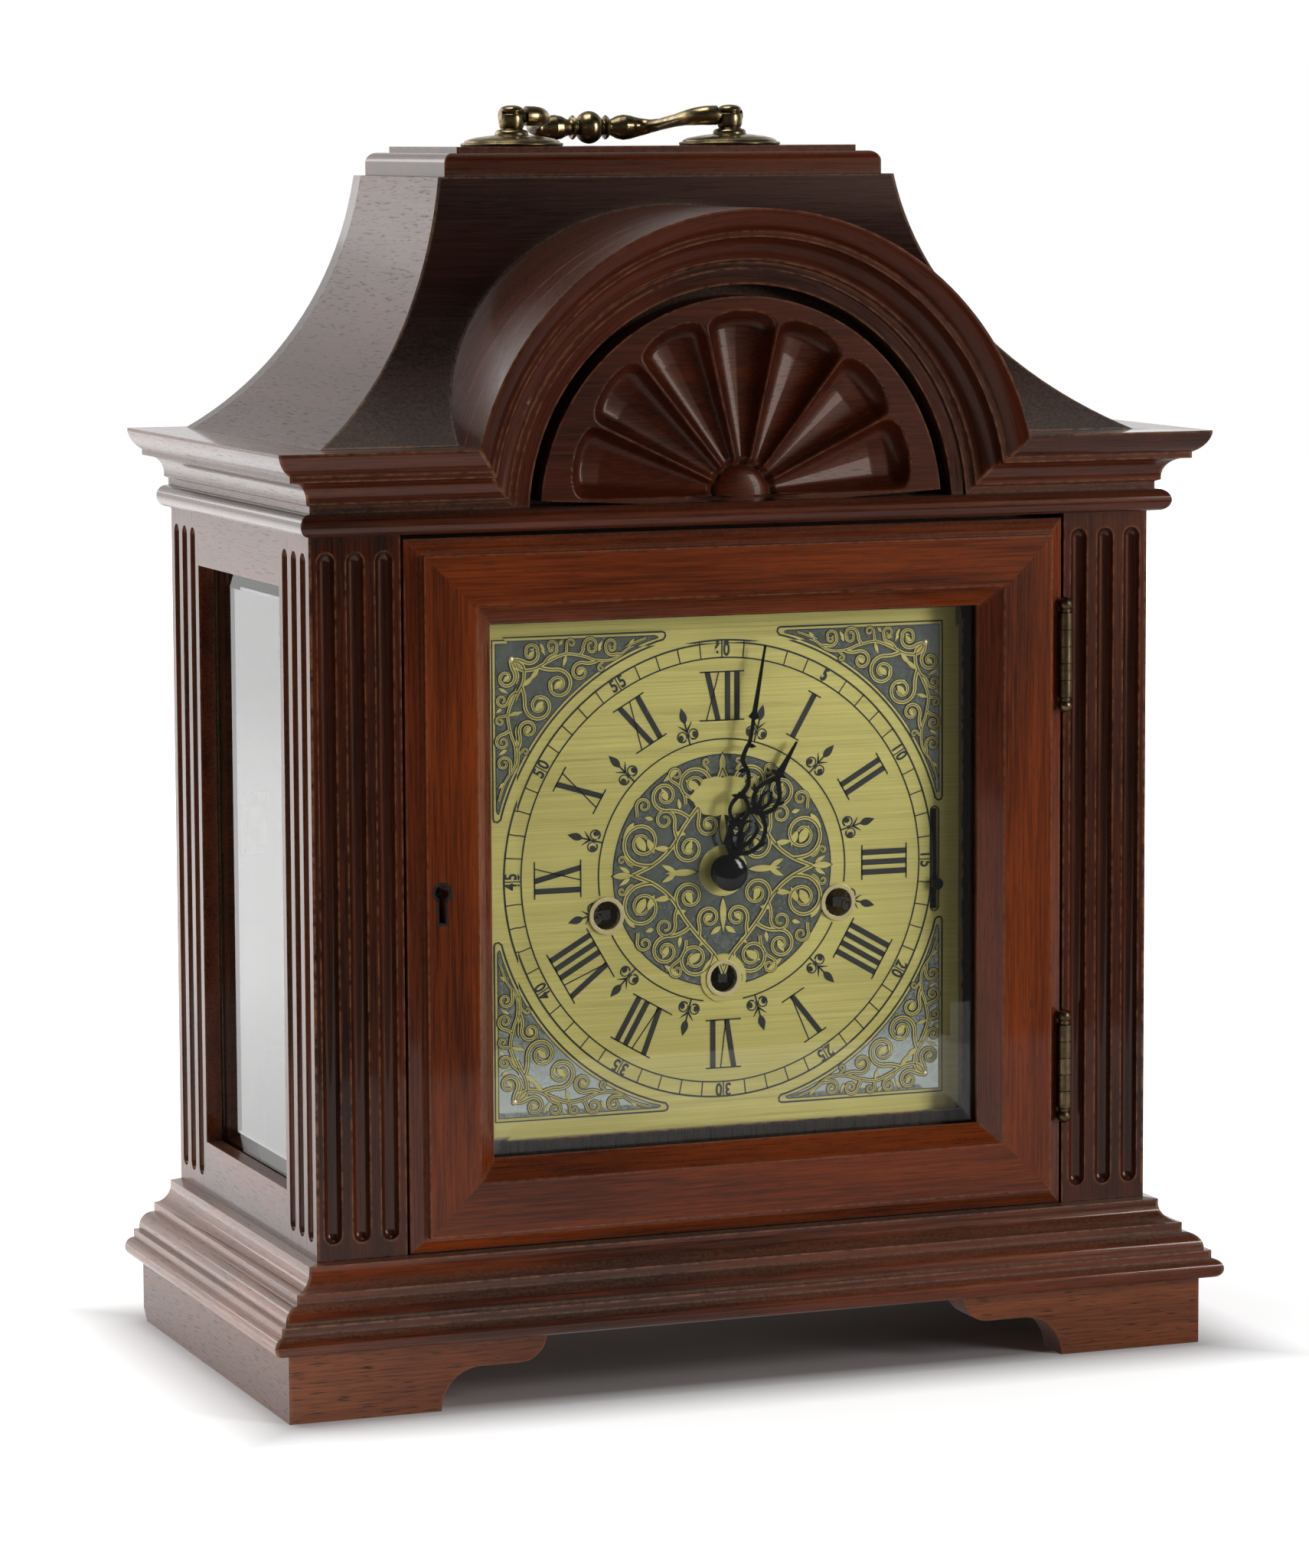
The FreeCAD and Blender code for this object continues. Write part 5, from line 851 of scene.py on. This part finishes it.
def fret():
    """Silver-grey backing under pierced brass scrolls, in the corners and in the centre. Scrolls
    lie at sixteen heights by turns, a few thousandths of a millimetre apart. Each has a broader
    dark plate under it, a painted shadow that shows as a dark rim round it, and each tendril a
    dark printed line along its middle."""
    brass, print_and_shadow_lines, backing = [], [], []
    steps = itertools.count()
    margin, shadow_rim, leaf_shadow_rim = 1.15, 0.62, 1.16

    def scroll(path, width):
        lift = FRET + 0.004 * (next(steps) % 16)
        brass.append(ribbon(path, width, lift, 0.12))
        # painted shadow: a broader dark ribbon under each scroll shows as a dark rim round it
        print_and_shadow_lines.append(ribbon(path, width + shadow_rim, lift - 0.13, lift - 0.17))
        print_and_shadow_lines.append(ribbon(path, width * 0.24, lift + 0.07, 0.04))

    def plate(outline, lift=FRET):
        brass.append(plate_of([outline], lift + 0.004 * (next(steps) % 16), lift - 0.03))
        middle = outline.mean(0)
        # painted shadow: a broader dark plate under each leaf shows as a dark rim round it
        shadow_outline = middle + (outline - middle) * leaf_shadow_rim
        print_and_shadow_lines.append(plate_of([shadow_outline], lift - 0.14, lift - 0.18))

    def vines_and_leaves(vines, leaves, sides, corner=None):
        for path, width in vines:
            scroll((path if corner is None else corner - path) * sides, width)
        for outline in leaves:
            plate((outline if corner is None else corner - outline) * sides)

    drawing = corner_vines()
    for sides in CORNERS:
        panel = spandrel_edge(margin) * sides
        backing.append(plate_of([panel], 0.04, 0.03))
        print_and_shadow_lines.append(ribbon(panel, 0.3, PRINT, closed=True))
        vines_and_leaves(*drawing, sides, PANEL_EDGE)
    drawing = centre_vines()
    for sides in CORNERS:
        vines_and_leaves(*drawing, sides)
    for turn in (0, 90, 180, 270):
        plate(turned_to(leaf((0, 9), (0, 20.5), 2.2), turn))
        if turn != 180:
            plate(turned_to(leaf((0, 38.6), (0, 31), 2.2), turn))
    backing.append(backing_ring())
    print_and_shadow_lines.append(ribbon(polar(CENTRE_EDGE, np.linspace(190.5, 529.5, 200)), 0.4, PRINT))
    brass.append(ribbon(disc((0, 0), 6.1, 60), 4.6, FRET + 0.1, FRET, closed=True))
    brass.append(ribbon(disc((0, -HOLE_DOWN), 7.0, 60), 2.0, FRET + 0.1, FRET, closed=True))
    turn = np.linspace(0, 2 * np.pi, 96, endpoint=False)
    wave = 1 + 0.055 * np.cos(6 * turn) + 0.03 * np.cos(14 * turn)
    cartouche = np.stack([10.8 * wave * np.cos(turn), 24.6 + 6.6 * wave * np.sin(turn)], -1)
    plate(cartouche, FRET + 0.12)
    # the dark mesh holds both the printed lines and the painted shadow plates
    for name, parts, dressing, slot in (("fret_backing", backing, "silver", "dial_brass"),
                                        ("fret_scrolls", brass, "dial", "dial_brass"),
                                        ("fret_print_and_shadow", print_and_shadow_lines, "print", "black_steel")):
        mesh_object(name, *merged(parts), MATERIALS[dressing], "case", smooth=False, slot=slot)
    rivets()


def rivets():
    """Four half-round heads in the corner frets: a lathe profile of a quarter circle."""
    out, high, wide = 72.2 * MM, 0.75, 1.15
    height = np.linspace(0, 1, 7)
    dome = np.stack([high * height, wide * np.sqrt(1 - height ** 2)], -1) * MM
    dome = np.concatenate([[(0, 0)], dome])
    heads = [turned(dome, (out * a, DIAL_Y, DIAL_Z + out * b), (0, -1, 0), 20) for a, b in CORNERS]
    mesh_object("fret_rivets", *merged(heads), MATERIALS["collet"], "case", slot="dial_brass")


# ---- hands ----

def hand(name, node, body, strokes, outlines, angle, front):
    """A flat steel hand of strokes and plates, turned to its hour. Each lies a hundredth of a
    millimetre behind the one before."""
    parts = []
    for k, (path, width) in enumerate(strokes):
        count = 12 * len(path)
        wide = np.interp(np.linspace(0, 1, count), np.linspace(0, 1, len(width)), width)
        path = turned_to(smooth(path, count), angle)
        parts.append(ribbon(path, wide, front - 0.01 * k, 0.8 - 0.02 * k))
    for k, outline in enumerate(outlines):
        outline = turned_to(outline, angle)
        parts.append(plate_of([outline], front - 0.01 * k - 0.005, 0.78 - 0.02 * k))
    mesh_object(name, *merged(parts), MATERIALS["black"], body, smooth=False, replaces=[node])


def both(path, width):
    """A stroke and its mirror image across the hand."""
    path = np.asarray(path, float)
    return [(path, width), (path * (-1, 1), width)]


def hands():
    """Pierced serpentine hands: looped lobes, a wavy neck and a long pointer."""
    strokes = both([(0.4, 6), (2.6, 9.5), (2.3, 13.0), (0.2, 16.6)], (1.5, 1.1, 1.0, 1.1, 1.5))
    strokes += both([(0.2, 15.8), (2.9, 19.0), (2.9, 22.4), (0.2, 26.4)], (1.5, 1.0, 1.1, 1.5))
    strokes += both([(0.3, 12.0), (1.6, 14.8), (0.2, 19.0)], (0.5, 1.0, 0.5))
    strokes.append(([(0, 25.6), (1.7, 29.5), (0.9, 33.6), (-1.5, 37.0), (-0.9, 41.0), (0, 44.0),
                     (0, 52.0)], (1.7, 1.4, 1.3, 1.5, 1.3, 1.2, 1.1)))
    pointer = np.array([(-1.9, 51.4), (-0.8, 53.2), (-0.28, 75.3), (0.28, 75.3), (0.8, 53.2),
                        (1.9, 51.4), (0.5, 50.6), (-0.5, 50.6)])
    foot = np.array([(-1.3, 4), (1.3, 4), (0.9, 7.6), (-0.9, 7.6)])
    outlines = [disc((0, 0), 5.2, 36), leaf((-3.6, 25.2), (3.6, 25.2), 1.6),
                leaf((-2.4, 33.2), (1.4, 34.4), 1.6), leaf((-1.0, 42.2), (2.5, 42.0), 1.5),
                leaf((3.0, 17.2), (1.4, 15.0), 1.0), leaf((-3.0, 17.2), (-1.4, 15.0), 1.0),
                pointer, foot]
    hand("minute_hand_fine", "minute_hand", "centre_arbor", strokes, outlines, 9.9, 6.2)

    strokes = both([(0.5, 7), (4.0, 9.5), (5.9, 14.0), (4.6, 19.0), (0.3, 22.6)],
                   (1.6, 1.3, 1.3, 1.2, 1.6))
    strokes += both([(0.3, 21.6), (3.9, 25.2), (4.0, 29.8), (0.3, 34.8)], (1.6, 1.3, 1.3, 1.6))
    strokes += both([(0.2, 8.6), (2.1, 12.6), (2.6, 16.8), (0.6, 18.6)], (1.5, 1.1, 1.0, 0.6))
    strokes += both([(0.2, 23.0), (1.8, 27.0), (0.5, 30.2)], (1.2, 0.9, 0.5))
    pointer = np.array([(-0.8, 34), (-1.3, 36.6), (-0.9, 40), (-0.3, 48.6), (0.3, 48.6), (0.9, 40),
                        (1.3, 36.6), (0.8, 34)])
    foot = np.array([(-1.6, 4), (1.6, 4), (1.1, 9), (-1.1, 9)])
    outlines = [disc((0, 0), 5.6, 36), leaf((-4.0, 22.0), (4.0, 22.0), 1.9),
                leaf((4.2, 27.0), (6.3, 29.6), 1.3), leaf((-4.2, 27.0), (-6.3, 29.6), 1.3),
                leaf((5.4, 12.0), (7.6, 15.2), 1.4), leaf((-5.4, 12.0), (-7.6, 15.2), 1.4),
                leaf((-3.2, 36.4), (3.2, 36.4), 1.9), pointer, foot]
    hand("hour_hand_fine", "hour_hand", "hour_wheel", strokes, outlines, 30.8, 4.0)
    hand_nut()


def hand_nut():
    """A lathe profile: a short cylinder under a round head."""
    turn = np.linspace(0, np.pi / 2, 12)
    head = [(1.2 + 1.6 * math.sin(t), 5.9 * math.cos(t) ** 0.8) for t in turn]
    profile = [(0, 0), (0, 6.0), (1.0, 6.0)] + head
    profile[-1] = (2.8, 0)
    points, faces = turned(np.array(profile) * MM, (0, DIAL_Y - 6.2 * MM, DIAL_Z), (0, -1, 0), 64)
    mesh_object("hand_nut_fine", points, faces, MATERIALS["black"], "centre_arbor",
                replaces=["hand_nut"])


# ---- carved shell ----

SCOOPS = 7


def shell():
    """A half disc carved as a shell. Rays from the foot of the fan carry rings out to the half
    disc's edge, and each point is set back by the depth there. Seven scoops lie between ribs that
    run along rays, a scalloped line ends them, and a button stands at the foot."""
    disc_radius, deep, up = 69.4, 12.0, 1.8
    foot = (BOARD_TOP - ARCH_FOOT_Z) / MM + up
    rows, scoop_columns, low_columns = 150, 78, 30
    turn = np.concatenate([np.linspace(-np.pi / 2, 0, low_columns, endpoint=False),
                           np.linspace(0, np.pi, SCOOPS * scoop_columns, endpoint=False),
                           np.linspace(np.pi, 1.5 * np.pi, low_columns, endpoint=False)])
    edge = -foot * np.sin(turn) + np.sqrt(disc_radius ** 2 - (foot * np.cos(turn)) ** 2)
    base = np.where(np.sin(turn) < 0, up / np.maximum(-np.sin(turn), 1e-4), 1e4)
    edge = np.minimum(edge, base)
    reach = np.linspace(0, 1, rows) ** 0.9
    x = reach[:, None] * edge * np.cos(turn)
    z = reach[:, None] * edge * np.sin(turn)
    front = np.stack([x * MM, HOOD_Y + shell_depth(x, z) * MM, BOARD_TOP + (z + up) * MM], -1)
    columns = len(turn)
    points = front.reshape(-1, 3)
    faces = grid_faces(rows, columns, wrap_columns=True)
    around = np.arange(columns)
    ahead = (around + 1) % columns
    rim = (rows - 1) * columns
    back = points[rim:].copy()
    back[:, 1] = HOOD_Y + deep * MM
    count = len(points)
    faces += np.stack([rim + around, rim + ahead, ahead + count, around + count], -1).tolist()
    faces += [(around[::-1] + count).tolist()]
    mesh_object("tympanum_fine", np.concatenate([points, back]), faces, MATERIALS["carved"], "case",
                replaces=["tympanum"])


def shell_depth(x, z):
    """Depth at a place, in millimetres. A scoop is deepest far out; it rises to nothing at its ribs
    and at the scalloped rim, and to the button's side at the foot. The button is a flat dome."""
    button_edge, button_high, ribs_deep = 9.8, 3.2, 1.06
    radius = np.hypot(x, z)
    turn = np.arctan2(z, x)
    share = np.pi / SCOOPS
    off = np.abs(turn - (np.clip(np.floor(turn / share), 0, SCOOPS - 1) + 0.5) * share)
    from_rib = radius * np.sin(np.clip(share / 2 - off, 0, None))
    rib = 0.60 + 0.030 * radius
    across = ribs_deep * from_rib ** 2 / (from_rib ** 2 + rib ** 2)
    rim = 54.4 + 4.9 * np.sqrt(np.clip(1 - (2 * off / share) ** 2.4, 0, 1))
    inside = np.clip((rim - radius) / 5.5, 0, 1)
    along = 1.5 + 4.9 * np.clip((radius - 8) / 40, 0, 1) ** 0.8
    near = np.clip((radius - button_edge) / 2.4, 0, 1)
    scoop = along * across * (1 - (1 - inside) ** 2.2) * near ** 0.5 + button_high * (1 - near)
    scoop = np.where(z < 0, scoop * np.clip(1 + z / 1.2, 0, 1), scoop)
    button = button_high * (1 - np.sqrt(np.clip(1 - (radius / 9.9) ** 2.6, 0, 1)))
    return np.where(radius <= button_edge, button, scoop)


# ---- handle and keyhole ----

def keyhole():
    """A dark band let into the door between the wide keyhole and the narrow one; it is painted
    shade that makes the hole look as wide as the wide keyhole.
    """
    def outline(radius, slot, low):
        turn = np.radians(np.linspace(-60, 240, 61))
        head = np.stack([radius * np.cos(turn), radius * np.sin(turn)], -1)
        neck = radius * 0.75
        return np.concatenate([head, [(-slot, -neck), (-slot, -low), (slot, -low), (slot, -neck)]])

    eye = np.array((-104.0, 0.9))
    points, faces = band(outline(3.3, 1.85, 10.8) + eye, outline(2.3, 1.1, 9.9) + eye, 22.04, 0.30,
                         closed=True)
    mesh_object("keyhole_painted_shade", points, faces, MATERIALS["dark steel"], "front_door", smooth=False)


def handle():
    """The bail is a round bar along a smooth path: a level grip, two swan necks and two pins. Its
    radius follows knots of (distance along the path, radius), with a ball in the middle of the
    grip. The mounts are lathe profiles: a low domed rose, a ring, a barrel and a capped head."""
    reach, drop, pin_end, ball = 32.0, 3.9, 43.4, 5.6
    pin_y, pin_z, mount_x = 35.8, 410.7, 39.3
    tilt = -math.asin(drop / reach)
    half = smooth([(0, reach), (6, reach), (12, reach), (17, 31.9), (20.6, 30.2), (22.8, 25.6),
                   (24.0, 19), (25.0, 12), (26.4, 5.6), (29.4, 1.2), (33, 0), (37, 0), (44, 0)], 700)
    gone = np.concatenate([[0], np.cumsum(np.linalg.norm(np.diff(half, axis=0), axis=1))])
    knots = np.array([(0, 2.6), (4.9, 2.6), (5.3, 2.9), (5.5, 3.8), (6.0, 4.2), (6.6, 3.8),
                      (6.8, 2.9), (7.4, 2.7), (8.4, 3.0), (10.2, 3.9), (12.6, 4.35), (15.2, 4.0),
                      (18.5, 3.1), (22.5, 2.3), (28, 2.0), (38, 2.15), (45, 2.5), (49.5, 3.0),
                      (53.5, 3.25), (54.2, 3.3), (60, 3.3)])
    radius = np.interp(gone, knots[:, 0], knots[:, 1])
    radius = np.maximum(radius, np.sqrt(np.clip(ball ** 2 - gone ** 2 * 1.25, 0, None)))
    radius = np.where(half[:, 0] > 34.4, 2.15, radius)
    keep = half[:, 0] < pin_end
    half, radius = half[keep], radius[keep]
    across, out = np.concatenate([half[:0:-1] * (-1, 1), half]).T
    radius = np.concatenate([radius[:0:-1], radius])
    path = np.stack([across, pin_y + out * math.cos(tilt), pin_z + out * math.sin(tilt)], -1)
    points, faces = swept(path * MM, radius * MM, 32)
    mesh_object("handle_bail_fine", points, faces, MATERIALS["brass"], "bail",
                replaces=["handle_bail"])
    profile = np.array([(0, 0.0), (0, 17.0), (0.5, 17.3), (0.9, 17.2), (1.1, 16.6), (1.2, 16.1),
                        (1.7, 15.9), (2.4, 14.4), (3.0, 11.6), (3.4, 8.6), (3.6, 6.6), (3.7, 5.7),
                        (4.3, 5.6), (4.9, 5.4), (5.3, 4.9), (5.5, 4.0), (5.9, 3.7), (6.3, 4.0),
                        (7.2, 4.3), (8.6, 4.4), (10.0, 4.35), (10.6, 4.1), (10.8, 3.7), (11.0, 3.6),
                        (11.2, 3.8), (11.7, 4.05), (12.4, 3.9), (13.0, 3.3), (13.4, 2.2),
                        (13.6, 1.0), (13.65, 0.0)])
    mounts = [turned(profile * MM, (side * mount_x * MM, pin_y * MM, PLATE_TOP), (0, 0, 1))
              for side in (-1, 1)]
    mesh_object("handle_mounts_fine", *merged(mounts), MATERIALS["brass"], "case",
                replaces=["handle_mounts"])


# ---- studio ----

CAMERA_PLACE = (-0.66217, -1.72805, 0.40787)
CAMERA_RIGHT = Vector((0.93408, -0.35702, -0.00494))
CAMERA_UP = Vector((0.04683, 0.10880, 0.99296))
CAMERA_AHEAD = Vector((0.35397, 0.92774, -0.11834))
FOCAL_LENGTH = 127.15           # on a frame 36 mm high
TABLE = [(-2.5, -0.66, 0), (2.5, -0.66, 0), (2.5, 4, 0), (-2.5, 4, 0)]
LAMPS = (                       # name, place, aim, width, height, radiance
    ("panel behind left", (-1.00, 1.40, 1.00), (0, 0, 0.2), 1.3, 1.0, 1.5),
    ("panel above", (-0.30, 0.10, 1.60), (0, 0, 0.2), 0.8, 0.8, 3.6),
    ("panel front right", (1.10, -1.35, 0.62), (0, 0, 0.18), 0.42, 0.90, 10.0))


def camera():
    """A long lens in front of the clock, to its left, and as high as its handle."""
    lens = bpy.data.cameras.new("camera")
    lens.sensor_fit = "VERTICAL"
    lens.sensor_height = 36.0
    lens.lens = FOCAL_LENGTH
    lens.clip_start = 0.05
    eye = bpy.data.objects.new("camera", lens)
    turn = Matrix((CAMERA_RIGHT, CAMERA_UP, -CAMERA_AHEAD)).transposed().to_4x4()
    eye.matrix_world = Matrix.Translation(CAMERA_PLACE) @ turn
    bpy.context.scene.collection.objects.link(eye)
    bpy.context.scene.camera = eye


def surround():
    """Light from all round, brightest behind the clock and low down; the camera sees plain white."""
    world = bpy.data.worlds.new("studio")
    bpy.context.scene.world = world
    world.use_nodes = True
    desk = Desk(world.node_tree)
    background = world.node_tree.nodes["Background"]
    seen = desk.add("LightPath").outputs["Is Camera Ray"]
    x, y, z = desk.parts(desk.add("TexCoord").outputs["Generated"])
    behind = desk.spread(y, -0.10, 0.35, 0.065, 1.0)
    low = desk.spread(z, 0.10, 0.50, 1.15, 0.20)
    desk.put(background.inputs["Color"], (1, 1, 1, 1))
    desk.put(background.inputs["Strength"], desk.swap(seen, desk.product(behind, low), 1.0))


def table():
    """White table: it glows to the camera away from the clock, and its colour is darker under it as
    a painted contact shadow, so it keeps its shadow; and it throws light back from behind."""
    half_wide, half_deep = 0.150, 0.080
    mesh = bpy.data.meshes.new("table")
    mesh.from_pydata(TABLE, [], [(0, 1, 2, 3)])
    top = bpy.data.objects.new("table", mesh)
    bpy.context.scene.collection.objects.link(top)
    material, desk, shader = finish("white table", (0.92, 0.92, 0.92), roughness=0.9)
    shader.inputs["Specular IOR Level"].default_value = 0.1
    shader.inputs["Emission Color"].default_value = (1, 1, 1, 1)
    place = desk.place()
    x, y, z = desk.parts(place)
    far = desk.add("VectorMath", {0: place}, operation="LENGTH").outputs["Value"]
    seen = desk.add("LightPath").outputs["Is Camera Ray"]
    beside = desk.math("SUBTRACT", desk.math("ABSOLUTE", x), half_wide)
    before = desk.math("SUBTRACT", desk.math("ABSOLUTE", y), half_deep)
    off = desk.math("MAXIMUM", beside, before)
    glow = desk.math("ADD", desk.spread(far, 0.30, 0.9), desk.spread(off, -0.002, 0.040, 0.0, 0.70))
    # painted shadow: the table's colour darkens under the clock
    painted_contact_shadow = desk.spread(off, -0.035, 0.03, 0.30, 0.92)
    desk.put(shader.inputs["Base Color"], desk.joined(painted_contact_shadow, painted_contact_shadow, painted_contact_shadow))
    behind = desk.product(desk.spread(y, -0.15, 0.8, 0.4, 1.35), desk.spread(x, 0.15, -0.25))
    desk.put(shader.inputs["Emission Strength"], desk.swap(seen, behind, glow))
    mesh.materials.append(material)


def lamps():
    """Soft panels; a panel's power is its radiance times pi times its area."""
    for name, place, aim, wide, high, radiance in LAMPS:
        data = bpy.data.lights.new(name, "AREA")
        data.shape = "RECTANGLE"
        data.size = wide
        data.size_y = high
        data.energy = radiance * math.pi * wide * high
        light = bpy.data.objects.new(name, data)
        light.location = place
        light.rotation_euler = (Vector(aim) - Vector(place)).to_track_quat("-Z", "Y").to_euler()
        light.visible_camera = False
        bpy.context.scene.collection.objects.link(light)


dress_nodes()
dial_print()
minute_figures()
fret()
hands()
shell()
handle()
keyhole()

bpy.context.scene.view_settings.view_transform = "Standard"
camera()
surround()
table()
lamps()
